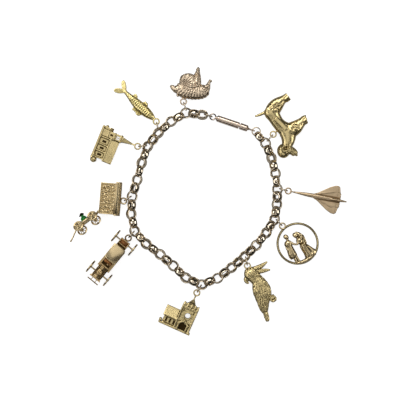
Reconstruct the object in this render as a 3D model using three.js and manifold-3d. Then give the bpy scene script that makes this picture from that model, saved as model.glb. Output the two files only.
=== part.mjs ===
// Charm bracelet: a closed belcher chain with a barrel clasp and ten cast charms, lying on a table.
// Millimetres, +Z up. The charms lie as they fell, each on a jump ring of its own.
import * as THREE from 'three';
import { mergeVertices } from 'three/addons/utils/BufferGeometryUtils.js';
import Module from 'manifold-3d';

const wasm = await Module();
wasm.setup();

// Chain: every second link lies flat and the ones between stand on edge.
const LINK_OD = 4.6;
const LINK_WALL = 0.6;
const LINK_ACROSS = 0.88; // a link is a little oval: this share of its length
const LINK_BAND = 1.9;
const LINK_SEGMENTS = 10;
const CONTACT = 0.05; // how far touching links sink into each other, so that the chain is one body

// Jump rings, the charms' own loops and the clearance that they keep.
const JUMP_WIRE = 0.5;
const JUMP_DEPTH = 0.65; // from a link's centre to the middle of the jump ring's wire inside it
const RUN_GAP = 0.15;
const SPARE = 0.15;
const LOOP_R = 1.1;
const LOOP_WIRE = 0.6;
const LOOP_PLAY = 0.3; // the loop's centre lies this far beyond the jump ring's wire
const RING_SEGMENTS = 10;
const WIRE_SIDES = 5;
const LIMB_SIDES = 6;
const WHEEL_CURVE = 6;
const SPOKES = 6;
const GROUND = 0.02;
const WELD = 1e-4;
const SIMPLER = 0.05; // facets closer than this to their neighbours are merged
const CHAIN_COLOR = 0xc9a58c;

const LINK_R = LINK_OD / 2;
const LINK_INNER = LINK_R - LINK_WALL;
const LINK_MEAN = LINK_R - LINK_WALL / 2;
const STAND_LEVEL = LINK_R * LINK_ACROSS; // a link on edge stands on its long side
const JUMP_CLEAR = JUMP_WIRE / 2 + RUN_GAP;
const LINK_SIDE = LINK_MEAN * LINK_ACROSS; // from a link's centre to the middle of its side wall
const JUMP_R = SPARE + ((LINK_SIDE - JUMP_DEPTH) ** 2 + (LINK_BAND / 2) ** 2 - JUMP_CLEAR ** 2)
  / (2 * (LINK_SIDE - JUMP_DEPTH - JUMP_CLEAR));
const JUMP_OUT = JUMP_DEPTH + JUMP_R; // from a link's centre to the jump ring's centre
const LOOP_OUT = JUMP_OUT + JUMP_R + LOOP_PLAY; // from a link's centre to the charm's loop

// Route of the chain: chosen points, and the pairs of links since the last point that has a count.
const ROUTE = [
  { x: 17.0, y: 27.5, pairs: 0 },
  { x: 21.5, y: 22.6, pairs: 1 },
  { x: 24.5, y: 14.4, pairs: 0 },
  { x: 26.0, y: 5.2, pairs: 3 },
  { x: 24.9, y: -6.2, pairs: 2 },
  { x: 20.6, y: -12.6, pairs: 0 },
  { x: 13.6, y: -20.2, pairs: 3 },
  { x: -2.7, y: -30.9, pairs: 3 },
  { x: -16.5, y: -20.9, pairs: 0 },
  { x: -28.0, y: -10.6, pairs: 5 },
  { x: -29.0, y: 2.5, pairs: 2 },
  { x: -27.1, y: 8.8, pairs: 0 },
  { x: -23.1, y: 21.4, pairs: 3 },
  { x: -15.4, y: 29.9, pairs: 0 },
  { x: -8.6, y: 34.1, pairs: 3 },
  { x: -2.5, y: 33.4, pairs: 1 },
];
const ROUTE_STEPS = 40;

// Charms: the flat link that each hangs on, the way its jump ring points and the way it lies.
const CHARMS = [
  { name: 'terrier', link: 1, toward: 48, heading: -49, build: terrier, color: 0xa59a4e },
  { name: 'jet', link: 4, toward: -15, heading: -10.6, build: jet, color: 0xc59c7a },
  { name: 'wedding_couple', link: 6, toward: -46, heading: -49, build: couple, color: 0xbfa67c },
  { name: 'cockatoo', link: 9, toward: -78, heading: -70, build: cockatoo, color: 0xb0a050 },
  { name: 'short_spire_church', link: 12, toward: -120, heading: -114.3, build: shortChurch,
    color: 0xa89a52 },
  { name: 'car', link: 17, toward: -131, heading: -129.6, build: car, color: 0xcdb57e },
  { name: 'caravan', link: 19, toward: -148, heading: 175.4, build: caravan, color: 0xcdb98a },
  { name: 'tall_spire_church', link: 22, toward: -175, heading: 157.6, build: tallChurch, color: 0xa89a52 },
  { name: 'fish', link: 23, toward: 104, heading: 136.9, build: fish, color: 0xb9a84f },
  { name: 'lion_dog', link: 25, toward: 107, heading: 180, build: lionDog, color: 0xb9a596 },
];

const rad = THREE.MathUtils.degToRad;
const part = new THREE.Group();
part.name = 'charm_bracelet';

// Solids.
function solid(geometry) {
  const bare = geometry.clone();
  bare.deleteAttribute('normal');
  bare.deleteAttribute('uv');
  const merged = mergeVertices(bare, WELD);
  const faces = new Uint32Array(merged.index.array);
  const make = () => new wasm.Manifold(new wasm.Mesh({
    numProp: 3, vertProperties: merged.attributes.position.array, triVerts: faces,
  }));
  const made = make();
  if (made.volume() > 0) return made;
  for (let i = 0; i < faces.length; i += 3) [faces[i + 1], faces[i + 2]] = [faces[i + 2], faces[i + 1]];
  return make();
}

function fused(pieces) {
  return pieces.reduce((whole, piece) => whole.add(piece));
}

// The pockets that two crossing bands can shut in between them are filled.
function unpocketed(body) {
  return fused(body.decompose().filter((piece) => piece.volume() > 0));
}

function add(name, body, color, roughness = 0.35, metalness = 0.9) {
  const mesh = unpocketed(body.simplify(SIMPLER)).getMesh();
  const geometry = new THREE.BufferGeometry();
  geometry.setAttribute('position', new THREE.BufferAttribute(new Float32Array(mesh.vertProperties), 3));
  geometry.setIndex(new THREE.BufferAttribute(new Uint32Array(mesh.triVerts), 1));
  geometry.computeVertexNormals();
  const node = new THREE.Mesh(geometry, new THREE.MeshStandardMaterial({ color, roughness, metalness }));
  node.name = name;
  part.add(node);
}

// A closed skin over rings of points that each have the same count.
function skin(rings) {
  const sides = rings[0].length;
  const position = rings.flat().flatMap((p) => [p.x, p.y, p.z]);
  const index = [];
  for (let i = 0; i + 1 < rings.length; i++) {
    for (let k = 0; k < sides; k++) {
      const a = i * sides + k;
      const b = i * sides + (k + 1) % sides;
      index.push(a, b, b + sides, a, b + sides, a + sides);
    }
  }
  const last = (rings.length - 1) * sides;
  for (let k = 1; k + 1 < sides; k++) {
    index.push(0, k + 1, k, last, last + k, last + k + 1);
  }
  const geometry = new THREE.BufferGeometry();
  geometry.setAttribute('position', new THREE.Float32BufferAttribute(position, 3));
  geometry.setIndex(index);
  return solid(geometry);
}

// A limb through rows of along, aside, wide (shares of length) and deep, level (shares of thick).
function limb(size, rows, sides = LIMB_SIDES) {
  const centres = rows.map((r) => new THREE.Vector2(r.along * size.length, r.aside * size.length));
  return skin(rows.map((row, i) => {
    const [before, after] = [centres[Math.max(i - 1, 0)], centres[Math.min(i + 1, rows.length - 1)]];
    const way = after.clone().sub(before).normalize();
    const wide = row.wide * size.length;
    const deep = row.deep * size.thick;
    const level = (row.level ?? 0.5) * size.thick;
    return Array.from({ length: sides }, (_, k) => {
      const angle = (k + 0.5) * 2 * Math.PI / sides;
      const out = wide * Math.cos(angle);
      return new THREE.Vector3(centres[i].x - way.y * out, centres[i].y + way.x * out,
        level + deep * Math.sin(angle));
    });
  }));
}

function slab(points, low, high) {
  const outline = new THREE.Shape(points.map(([x, y]) => new THREE.Vector2(x, y)));
  return solid(new THREE.ExtrudeGeometry(outline, { depth: high - low, bevelEnabled: false })
    .translate(0, 0, low));
}

function block(x0, x1, y0, y1, z0, z1) {
  return solid(new THREE.BoxGeometry(x1 - x0, y1 - y0, z1 - z0)
    .translate((x0 + x1) / 2, (y0 + y1) / 2, (z0 + z1) / 2));
}

// Blocks from rows of shares: x0, x1, y0, y1 of the size and z0, z1 of the depth, above a base height.
function blocks(rows, size, deep, base = 0) {
  return rows.map((r) => block(r.x0 * size, r.x1 * size, r.y0 * size, r.y1 * size,
    base + r.z0 * deep, base + r.z1 * deep));
}

// A prism whose outline, in shares of the size in X and of the depth in Z, runs from one Y to another.
function prism(outline, size, deep, y0, y1, slant = 0) {
  return skin([y0, y1].map((y, i) => outline.map(([x, z]) =>
    new THREE.Vector3((x + i * slant) * size, y * size, z * deep))));
}

// A four-sided spire from rows of shares: along and half width.
function spire(rows, size, side, level, depth = 1) {
  const corners = [[-1, -1], [1, -1], [1, 1], [-1, 1]];
  return skin(rows.map((r) => corners.map(([s, u]) =>
    new THREE.Vector3(r.along * size, (side + s * r.half) * size, level + u * r.half * size * depth))));
}

function ball(x, y, z, r, flat = 1) {
  return solid(new THREE.SphereGeometry(r, 8, 5).scale(1, 1, flat).translate(x, y, z));
}

function ring(mean, wire, segments = RING_SEGMENTS, sides = WIRE_SIDES) {
  return new THREE.TorusGeometry(mean, wire / 2, sides, segments);
}

function rod(from, to, r, sides = 6) {
  const way = new THREE.Vector3().subVectors(to, from);
  const turn = new THREE.Quaternion().setFromUnitVectors(new THREE.Vector3(0, 1, 0), way.clone().normalize());
  return solid(new THREE.CylinderGeometry(r, r, way.length(), sides).applyQuaternion(turn)
    .translate((from.x + to.x) / 2, (from.y + to.y) / 2, (from.z + to.z) / 2));
}

function loop(level) {
  return solid(ring(LOOP_R, LOOP_WIRE).translate(0, 0, level));
}

// A bar from the loop to the charm, started inside the loop's wire.
function lug(level, to, r = LOOP_WIRE / 2) {
  const way = new THREE.Vector3(to[0], to[1], 0).normalize().multiplyScalar(LOOP_R);
  return rod(new THREE.Vector3(way.x, way.y, level), new THREE.Vector3(...to), r);
}

// Chain.
function linkGeometry() {
  const band = LINK_BAND / 2;
  const section = [[LINK_INNER, -0.6 * band], [LINK_INNER, 0.6 * band], [LINK_MEAN, band],
    [LINK_R, 0], [LINK_MEAN, -band]];
  const position = [];
  const index = [];
  const sides = section.length;
  for (let i = 0; i < LINK_SEGMENTS; i++) {
    const angle = (i + 0.5) * 2 * Math.PI / LINK_SEGMENTS;
    for (const [r, h] of section) position.push(r * Math.cos(angle), LINK_ACROSS * r * Math.sin(angle), h);
    const next = ((i + 1) % LINK_SEGMENTS) * sides;
    for (let k = 0; k < sides; k++) {
      const a = i * sides + k;
      const b = i * sides + (k + 1) % sides;
      const c = next + (k + 1) % sides;
      index.push(a, b, c, a, c, next + k);
    }
  }
  const geometry = new THREE.BufferGeometry();
  geometry.setAttribute('position', new THREE.Float32BufferAttribute(position, 3));
  geometry.setIndex(index);
  return geometry;
}

// Height at which a flat link rests on the standing link beside it.
function restHeight(pitch) {
  const reach = Math.min(Math.abs(pitch - LINK_MEAN), LINK_INNER);
  const rise = LINK_ACROSS * Math.sqrt(LINK_INNER ** 2 - reach ** 2);
  return Math.min(STAND_LEVEL, STAND_LEVEL - rise + LINK_BAND / 2 - CONTACT);
}

// Centres of the flat links, evenly spaced between the counted points of the route.
function flatCentres() {
  const curve = new THREE.CatmullRomCurve3(ROUTE.map((p) => new THREE.Vector3(p.x, p.y, 0)),
    false, 'catmullrom', 0.5);
  const points = curve.getPoints(ROUTE_STEPS * (ROUTE.length - 1));
  const length = [0];
  for (let i = 1; i < points.length; i++) {
    length.push(length[i - 1] + points[i].distanceTo(points[i - 1]));
  }
  const centres = [points[0]];
  let from = 0;
  ROUTE.forEach((stop, s) => {
    if (!stop.pairs) return;
    const to = s * ROUTE_STEPS;
    for (let k = 1; k <= stop.pairs; k++) {
      const want = length[from] + (length[to] - length[from]) * k / stop.pairs;
      const i = length.findIndex((l) => l >= want - WELD);
      const share = (want - length[i - 1]) / (length[i] - length[i - 1]);
      centres.push(points[i - 1].clone().lerp(points[i], share));
    }
    from = to;
  });
  return centres;
}

const flats = flatCentres();
const up = new THREE.Vector3(0, 0, 1);

function placedLink(centre, way, axis) {
  const side = new THREE.Vector3().crossVectors(axis, way).normalize();
  const frame = new THREE.Matrix4().makeBasis(way, side, axis).setPosition(centre);
  return solid(linkGeometry().applyMatrix4(frame));
}

function chain() {
  const links = [];
  for (let i = 0; i + 1 < flats.length; i++) {
    const way = flats[i + 1].clone().sub(flats[i]).normalize();
    const middle = flats[i].clone().lerp(flats[i + 1], 0.5).setZ(STAND_LEVEL);
    links.push(placedLink(middle, way, new THREE.Vector3(way.y, -way.x, 0)));
  }
  for (let i = 1; i < flats.length; i++) {
    const before = restHeight(flats[i].distanceTo(flats[i - 1]) / 2);
    const after = i + 1 < flats.length ? restHeight(flats[i].distanceTo(flats[i + 1]) / 2) : before;
    const next = flats[Math.min(i + 1, flats.length - 1)];
    const way = next.clone().sub(flats[i - 1]).normalize();
    way.z = (after - before) / (2 * LINK_MEAN);
    way.normalize();
    const side = new THREE.Vector3().crossVectors(up, way).normalize();
    const axis = new THREE.Vector3().crossVectors(way, side).normalize();
    flats[i].level = (before + after) / 2;
    links.push(placedLink(flats[i].clone().setZ(flats[i].level), way, axis));
  }
  return unpocketed(fused(links));
}

// A jump ring through a flat link: it stands upright and points away from the link.
function jumpRing(link, toward) {
  const way = new THREE.Vector3(Math.cos(rad(toward)), Math.sin(rad(toward)), 0);
  const level = Math.max(flats[link].level, JUMP_R + JUMP_WIRE / 2 + GROUND);
  const centre = flats[link].clone().setZ(level).addScaledVector(way, JUMP_OUT);
  const body = solid(ring(JUMP_R, JUMP_WIRE).rotateX(Math.PI / 2).rotateZ(rad(toward))
    .translate(centre.x, centre.y, centre.z));
  return { body, level, loopAt: flats[link].clone().addScaledVector(way, LOOP_OUT) };
}

// Charms, each with its loop at the origin and its body along +X.
const FISH = { length: 18.6, thick: 2.9, ribs: 9, ribRise: 0.007, start: 1.2, lug: 1.6,
  finLow: 0.35, finHigh: 0.6 };
const FISH_BODY = [
  { along: 0.0, wide: 0.022 }, { along: 0.06, wide: 0.052 }, { along: 0.16, wide: 0.08 },
  { along: 0.3, wide: 0.096 }, { along: 0.45, wide: 0.096 }, { along: 0.6, wide: 0.078 },
  { along: 0.73, wide: 0.05 }, { along: 0.84, wide: 0.03 },
];
const FISH_FINS = [
  [[0.83, -0.024], [0.93, -0.11], [1.0, -0.12], [0.97, -0.06], [0.875, 0], [0.97, 0.06], [1.0, 0.12],
    [0.93, 0.11], [0.83, 0.024]],
  [[0.28, -0.07], [0.38, -0.125], [0.45, -0.075]],
  [[0.54, -0.06], [0.64, -0.1], [0.68, -0.04]],
  [[0.3, 0.07], [0.35, 0.17], [0.4, 0.145], [0.5, 0.15], [0.46, 0.07]],
];

function between(rows, along, column) {
  const i = Math.max(1, rows.findIndex((r) => r.along >= along));
  const [a, b] = [rows[i - 1], rows[i]];
  return THREE.MathUtils.lerp(a[column], b[column], (along - a.along) / (b.along - a.along));
}

function fish(level) {
  const end = FISH_BODY[FISH_BODY.length - 1].along;
  const fullest = Math.max(...FISH_BODY.map((row) => row.wide)) + FISH.ribRise;
  const rows = Array.from({ length: 2 * FISH.ribs + 1 }, (_, i) => {
    const along = end * i / (2 * FISH.ribs);
    const wide = between(FISH_BODY, along, 'wide') + (i % 2 ? FISH.ribRise : 0);
    return { along, aside: 0, wide, deep: 0.5 * wide / fullest };
  });
  const fins = FISH_FINS.map((f) => slab(f.map(([x, y]) => [x * FISH.length, y * FISH.length]),
    FISH.finLow * FISH.thick, FISH.finHigh * FISH.thick));
  const body = fused([limb(FISH, rows), ...fins]).translate([FISH.start, 0, 0]);
  return [{ body: fused([loop(level), lug(level, [FISH.start + FISH.lug, 0, FISH.thick / 2]), body]) }];
}

const JET = { length: 21.6, thick: 1.5, wing: 0.5, belly: 0.35, start: 1.2, sunk: 0.14, lug: 1.8 };
const JET_BODY = [
  { along: 0.0, aside: 0, wide: 0.009, deep: 0.14 }, { along: 0.06, aside: 0, wide: 0.018, deep: 0.28 },
  { along: 0.22, aside: 0, wide: 0.031, deep: 0.46 }, { along: 0.75, aside: 0, wide: 0.033, deep: 0.48 },
  { along: 0.9, aside: 0, wide: 0.024, deep: 0.34 }, { along: 1.0, aside: 0, wide: 0.008, deep: 0.12 },
];
const JET_WING = [[0.36, 0.0], [0.43, 0.05], [0.6, 0.14], [0.77, 0.245], [0.84, 0.24], [0.87, 0.17],
  [0.88, 0.0]];
const JET_PODS = [
  { x0: 0.68, x1: 0.9, y0: -0.135, y1: -0.065, z0: 0, z1: 0.3 },
  { x0: 0.68, x1: 0.9, y0: 0.065, y1: 0.135, z0: 0, z1: 0.3 },
];
const JET_FIN = { outline: [[0.7, 0.6], [0.9, 1.8], [0.96, 1.8], [0.97, 0.6]], half: 0.0116 };

function jet(level) {
  const { length, thick, belly } = JET;
  const wings = [-1, 1].map((side) =>
    slab(JET_WING.map(([x, y]) => [x * length, side * y * length]), belly, belly + JET.wing));
  const body = fused([limb(JET, JET_BODY).translate([0, 0, JET.sunk]), ...wings,
    ...blocks(JET_PODS, length, thick), prism(JET_FIN.outline, length, thick, -JET_FIN.half, JET_FIN.half)]);
  return [{ body: fused([loop(level), lug(level, [JET.start + JET.lug, 0, thick / 2]),
    body.translate([JET.start, 0, 0])]) }];
}

const COUPLE = { length: 14.0, thick: 3.0, ringOuter: 8.05, ringWall: 0.9, ringHigh: 1.7, tilt: 77,
  lugLevel: 0.6, lugR: 0.4 };
const GROOM = [
  { along: -0.47, aside: 0.16, wide: 0.05, deep: 0.25 }, { along: -0.3, aside: 0.22, wide: 0.065, deep: 0.3 },
  { along: -0.26, aside: 0.24, wide: 0.1, deep: 0.4 }, { along: 0.0, aside: 0.235, wide: 0.085, deep: 0.42 },
  { along: 0.13, aside: 0.22, wide: 0.1, deep: 0.45 }, { along: 0.19, aside: 0.2, wide: 0.06, deep: 0.35 },
  { along: 0.21, aside: 0.19, wide: 0.035, deep: 0.2 }, { along: 0.24, aside: 0.19, wide: 0.05, deep: 0.25 },
  { along: 0.28, aside: 0.185, wide: 0.054, deep: 0.27 },
  { along: 0.32, aside: 0.18, wide: 0.03, deep: 0.15 },
];
const BRIDE = [
  { along: -0.43, aside: -0.15, wide: 0.17, deep: 0.45 },
  { along: -0.3, aside: -0.14, wide: 0.14, deep: 0.44 },
  { along: -0.1, aside: -0.1, wide: 0.075, deep: 0.36 },
  { along: -0.06, aside: -0.09, wide: 0.06, deep: 0.32 },
  { along: 0.05, aside: -0.08, wide: 0.085, deep: 0.4 }, { along: 0.12, aside: -0.07, wide: 0.05, deep: 0.3 },
  { along: 0.14, aside: -0.06, wide: 0.034, deep: 0.2 },
  { along: 0.18, aside: -0.055, wide: 0.05, deep: 0.26 },
  { along: 0.23, aside: -0.05, wide: 0.06, deep: 0.3 }, { along: 0.29, aside: -0.05, wide: 0.03, deep: 0.15 },
];

const COUPLE_ARMS = [
  [{ along: 0.12, aside: 0.15, wide: 0.04, deep: 0.2, level: 0.62 },
    { along: 0.0, aside: 0.03, wide: 0.034, deep: 0.16, level: 0.66 }],
  [{ along: 0.06, aside: -0.02, wide: 0.04, deep: 0.2, level: 0.62 },
    { along: 0.0, aside: 0.05, wide: 0.034, deep: 0.16, level: 0.66 }],
];
const COUPLE_GROUND = [
  { along: -0.5, aside: 0.26, wide: 0.05, deep: 0.35 }, { along: -0.49, aside: 0.0, wide: 0.08, deep: 0.4 },
  { along: -0.46, aside: -0.26, wide: 0.05, deep: 0.35 },
];

// The couple stand on the ring: their rows run up the figures, and aside is to their left.
function couple(level) {
  const { ringOuter, ringWall, ringHigh, tilt } = COUPLE;
  const ringAt = ringOuter + LOOP_R - LOOP_WIRE / 2;
  const outline = new THREE.Shape().absarc(0, 0, ringOuter, 0, 2 * Math.PI);
  outline.holes.push(new THREE.Path().absarc(0, 0, ringOuter - ringWall, 0, 2 * Math.PI, true));
  const band = solid(new THREE.ExtrudeGeometry(outline,
    { depth: ringHigh, bevelEnabled: false, curveSegments: RING_SEGMENTS }));
  const figures = fused([GROOM, BRIDE, COUPLE_GROUND, ...COUPLE_ARMS].map((rows) => limb(COUPLE, rows)))
    .rotate([0, 0, tilt + 90]);
  const joint = lug(level, [ringAt - ringOuter + ringWall / 2, 0, COUPLE.lugLevel * ringHigh], COUPLE.lugR);
  return [{ body: fused([loop(level), joint, fused([band, figures]).translate([ringAt, 0, 0])]) }];
}

const BIRD = { length: 22.6, thick: 3.6, lug: [3.0, 0.3] };
const BIRD_BODY = [
  { along: 0.075, aside: 0.03, wide: 0.05, deep: 0.25 }, { along: 0.13, aside: 0.022, wide: 0.12, deep: 0.4 },
  { along: 0.21, aside: 0.044, wide: 0.122, deep: 0.42 },
  { along: 0.295, aside: 0.067, wide: 0.115, deep: 0.42 },
  { along: 0.42, aside: 0.077, wide: 0.155, deep: 0.49 },
  { along: 0.52, aside: 0.077, wide: 0.153, deep: 0.5 },
  { along: 0.605, aside: 0.054, wide: 0.126, deep: 0.44 },
  { along: 0.734, aside: 0.015, wide: 0.07, deep: 0.3 },
  { along: 0.84, aside: 0.008, wide: 0.045, deep: 0.2 }, { along: 1.0, aside: 0, wide: 0.04, deep: 0.14 },
];
const BIRD_HORNS = [
  [{ along: 0.15, aside: -0.05, wide: 0.05, deep: 0.2 },
    { along: 0.225, aside: -0.115, wide: 0.035, deep: 0.15 },
    { along: 0.29, aside: -0.095, wide: 0.012, deep: 0.07 }],
  [{ along: 0.11, aside: 0.09, wide: 0.04, deep: 0.2 }, { along: 0.1, aside: 0.2, wide: 0.032, deep: 0.15 },
    { along: 0.055, aside: 0.335, wide: 0.012, deep: 0.08 }],
  [{ along: 0.16, aside: 0.11, wide: 0.04, deep: 0.2 }, { along: 0.18, aside: 0.22, wide: 0.032, deep: 0.15 },
    { along: 0.195, aside: 0.345, wide: 0.012, deep: 0.08 }],
  [{ along: 0.6, aside: 0.12, wide: 0.05, deep: 0.25 }, { along: 0.66, aside: 0.18, wide: 0.075, deep: 0.34 },
    { along: 0.72, aside: 0.2, wide: 0.05, deep: 0.22 }],
];

function cockatoo(level) {
  const body = fused([limb(BIRD, BIRD_BODY), ...BIRD_HORNS.map((rows) => limb(BIRD, rows, 6))]);
  return [{ body: fused([loop(level), lug(level, [...BIRD.lug, BIRD.thick / 2]), body]) }];
}

// Churches lie on their backs: X is down from the spire, and the thickness is their depth.
const SHORT_CHURCH = { high: 14.6, thick: 4.0, start: 1.0, side: 0.01, spireDepth: 1.1, lug: 1.9 };
const SHORT_SPIRE = [{ along: 0.08, half: 0.012 }, { along: 0.28, half: 0.12 }];
const SHORT_WALLS = [
  { x0: 0.27, x1: 1.0, y0: -0.19, y1: 0.22, z0: 0, z1: 1 }, // tower
  { x0: 0.74, x1: 1.0, y0: -0.53, y1: -0.17, z0: 0.14, z1: 0.84 }, // nave
  { x0: 0.97, x1: 1.03, y0: -0.61, y1: 0.27, z0: 0, z1: 1 }, // base
];
const SHORT_ARCH = [{ x0: 0.82, x1: 0.965, y0: -0.09, y1: 0.1, z0: 0.4, z1: 1.3 }];
const SHORT_EYE = { along: 0.57, aside: 0.03, r: 0.075, sides: 10 };
const SHORT_GABLE = { outline: [[0.7, 0.01], [0.8, 0.15], [0.84, 0.15], [0.84, -0.13], [0.8, -0.13]],
  low: 0.95, high: 1.11 };
const SHORT_ROOF = { outline: [[0.5, 0.5], [0.78, 0.0], [0.8, 0.0], [0.8, 0.98], [0.78, 0.98]],
  y0: -0.56, y1: -0.17 };
const SHORT_FINIAL = { from: 0.28, to: 0.3, aside: -0.17, r: 0.027 };

function shortChurch(level) {
  const { high: h, thick: t, start } = SHORT_CHURCH;
  const mid = t / 2;
  const at = (x, y, z) => new THREE.Vector3(x * h, y * h, z);
  const eye = rod(at(SHORT_EYE.along, SHORT_EYE.aside, -t), at(SHORT_EYE.along, SHORT_EYE.aside, 2 * t),
    SHORT_EYE.r * h, SHORT_EYE.sides);
  const [arch] = blocks(SHORT_ARCH, h, t);
  const gable = slab(SHORT_GABLE.outline.map(([x, y]) => [x * h, y * h]),
    SHORT_GABLE.low * t, SHORT_GABLE.high * t);
  const finial = rod(at(SHORT_FINIAL.from, SHORT_FINIAL.aside, mid),
    at(SHORT_FINIAL.to, SHORT_FINIAL.aside, mid), SHORT_FINIAL.r * h);
  const walls = fused(blocks(SHORT_WALLS, h, t)).subtract(eye).subtract(arch);
  const whole = fused([spire(SHORT_SPIRE, h, SHORT_CHURCH.side, mid, SHORT_CHURCH.spireDepth), walls, gable,
    prism(SHORT_ROOF.outline, h, t, SHORT_ROOF.y0, SHORT_ROOF.y1), finial]).translate([start, 0, 0]);
  return [{ body: fused([loop(level), lug(level, [start + SHORT_CHURCH.lug, 0, mid]), whole]) }];
}

const TALL_CHURCH = { high: 13.7, thick: 3.2, start: 1.0, lug: 1.6 };
const TALL_SPIRE = [{ along: 0.03, half: 0.014 }, { along: 0.41, half: 0.085 }];
const TALL_WALLS = [
  { x0: 0.4, x1: 1.0, y0: -0.1, y1: 0.085, z0: 0, z1: 1 }, // tower
  { x0: 0.78, x1: 1.0, y0: -0.18, y1: -0.08, z0: 0.1, z1: 0.8 }, // porch
  { x0: 0.62, x1: 1.0, y0: 0.07, y1: 0.72, z0: 0.1, z1: 0.86 }, // nave
  { x0: 0.97, x1: 1.03, y0: -0.19, y1: 0.78, z0: 0, z1: 1 }, // base
];
const TALL_HOLES = [
  { x0: 0.46, x1: 0.58, y0: -0.035, y1: 0.035, z0: -0.3, z1: 1.3 }, // belfry
  { x0: 0.76, x1: 0.88, y0: 0.19, y1: 0.27, z0: 0.7, z1: 1 },
  { x0: 0.76, x1: 0.88, y0: 0.38, y1: 0.46, z0: 0.7, z1: 1 },
  { x0: 0.76, x1: 0.88, y0: 0.57, y1: 0.65, z0: 0.7, z1: 1 },
];
const TALL_ROOF = { outline: [[0.42, 0.5], [0.66, 0.0], [0.69, 0.0], [0.69, 1.0], [0.66, 1.0]],
  y0: 0.07, y1: 0.76, slant: 0.02 };
const TALL_BUSH = { along: 0.93, aside: 0.79, r: 0.095 };

function tallChurch(level) {
  const { high: h, thick: t, start } = TALL_CHURCH;
  const mid = t / 2;
  const walls = fused(blocks(TALL_WALLS, h, t)).subtract(fused(blocks(TALL_HOLES, h, t)));
  const whole = fused([spire(TALL_SPIRE, h, 0, mid), walls,
    prism(TALL_ROOF.outline, h, t, TALL_ROOF.y0, TALL_ROOF.y1, TALL_ROOF.slant),
    ball(TALL_BUSH.along * h, TALL_BUSH.aside * h, mid, TALL_BUSH.r * h)]).translate([start, 0, 0]);
  return [{ body: fused([loop(level), lug(level, [start + TALL_CHURCH.lug, 0, mid]), whole]) }];
}

const TERRIER = { length: 21.7, thick: 3.8, lug: [0, 2.6] };
const TERRIER_HEAD = { along: 0.33, aside: -0.05, r: 0.125, flat: 0.68 };
const TERRIER_LIMBS = [
  [{ along: -0.42, aside: 0.22, wide: 0.09, deep: 0.38 },
    { along: -0.32, aside: 0.228, wide: 0.135, deep: 0.48 },
    { along: -0.14, aside: 0.2, wide: 0.115, deep: 0.42 },
    { along: 0.07, aside: 0.215, wide: 0.14, deep: 0.48 },
    { along: 0.22, aside: 0.175, wide: 0.13, deep: 0.46 },
    { along: 0.32, aside: 0.07, wide: 0.11, deep: 0.4 },
    { along: 0.36, aside: -0.02, wide: 0.09, deep: 0.36 }],
  [{ along: -0.32, aside: 0.22, wide: 0.12, deep: 0.48 },
    { along: -0.335, aside: 0.42, wide: 0.11, deep: 0.46 },
    { along: -0.35, aside: 0.53, wide: 0.07, deep: 0.38 },
    { along: -0.35, aside: 0.61, wide: 0.08, deep: 0.4 }],
  [{ along: 0.13, aside: 0.2, wide: 0.12, deep: 0.46 }, { along: 0.165, aside: 0.4, wide: 0.13, deep: 0.5 },
    { along: 0.158, aside: 0.52, wide: 0.09, deep: 0.42 },
    { along: 0.158, aside: 0.61, wide: 0.09, deep: 0.42 }],
  [{ along: -0.37, aside: 0.17, wide: 0.03, deep: 0.14 },
    { along: -0.4, aside: 0.07, wide: 0.026, deep: 0.12 },
    { along: -0.44, aside: -0.035, wide: 0.018, deep: 0.09 }],
  [{ along: 0.34, aside: -0.03, wide: 0.1, deep: 0.36 },
    { along: 0.45, aside: 0.055, wide: 0.08, deep: 0.31 },
    { along: 0.545, aside: 0.075, wide: 0.06, deep: 0.25 }],
];

function terrier(level) {
  const { length, thick } = TERRIER;
  const head = ball(TERRIER_HEAD.along * length, TERRIER_HEAD.aside * length, thick / 2,
    TERRIER_HEAD.r * length, TERRIER_HEAD.flat);
  return [{ body: fused([...TERRIER_LIMBS.map((rows) => limb(TERRIER, rows)), head, loop(level),
    lug(level, [...TERRIER.lug, thick / 2])]) }];
}

const LION = { length: 14.6, thick: 3.8, lug: [-0.5, -2.4] };
const LION_LIMBS = [
  [{ along: -0.62, aside: -0.3, wide: 0.09, deep: 0.36 },
    { along: -0.55, aside: -0.27, wide: 0.16, deep: 0.46 },
    { along: -0.35, aside: -0.24, wide: 0.19, deep: 0.48 },
    { along: -0.12, aside: -0.29, wide: 0.22, deep: 0.5 },
    { along: 0.07, aside: -0.33, wide: 0.21, deep: 0.48 },
    { along: 0.19, aside: -0.35, wide: 0.12, deep: 0.38 }],
  [{ along: -0.13, aside: -0.2, wide: 0.17, deep: 0.46 }, { along: -0.1, aside: -0.5, wide: 0.2, deep: 0.5 },
    { along: -0.04, aside: -0.63, wide: 0.16, deep: 0.42 },
    { along: -0.02, aside: -0.68, wide: 0.09, deep: 0.3 }],
  [{ along: -0.6, aside: -0.28, wide: 0.07, deep: 0.34 },
    { along: -0.65, aside: -0.46, wide: 0.045, deep: 0.26 },
    { along: -0.68, aside: -0.56, wide: 0.04, deep: 0.24 }],
  [{ along: -0.36, aside: -0.4, wide: 0.09, deep: 0.4 },
    { along: -0.38, aside: -0.65, wide: 0.065, deep: 0.32 },
    { along: -0.33, aside: -0.83, wide: 0.045, deep: 0.26 }],
  [{ along: 0.14, aside: -0.26, wide: 0.1, deep: 0.4 }, { along: 0.22, aside: -0.32, wide: 0.08, deep: 0.34 },
    { along: 0.31, aside: -0.36, wide: 0.045, deep: 0.22 }],
  [{ along: 0.12, aside: -0.22, wide: 0.05, deep: 0.26 },
    { along: 0.145, aside: -0.14, wide: 0.03, deep: 0.16 }],
];

function lionDog(level) {
  return [{ body: fused([...LION_LIMBS.map((rows) => limb(LION, rows)), loop(level),
    lug(level, [...LION.lug, LION.thick / 2])]) }];
}

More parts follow.
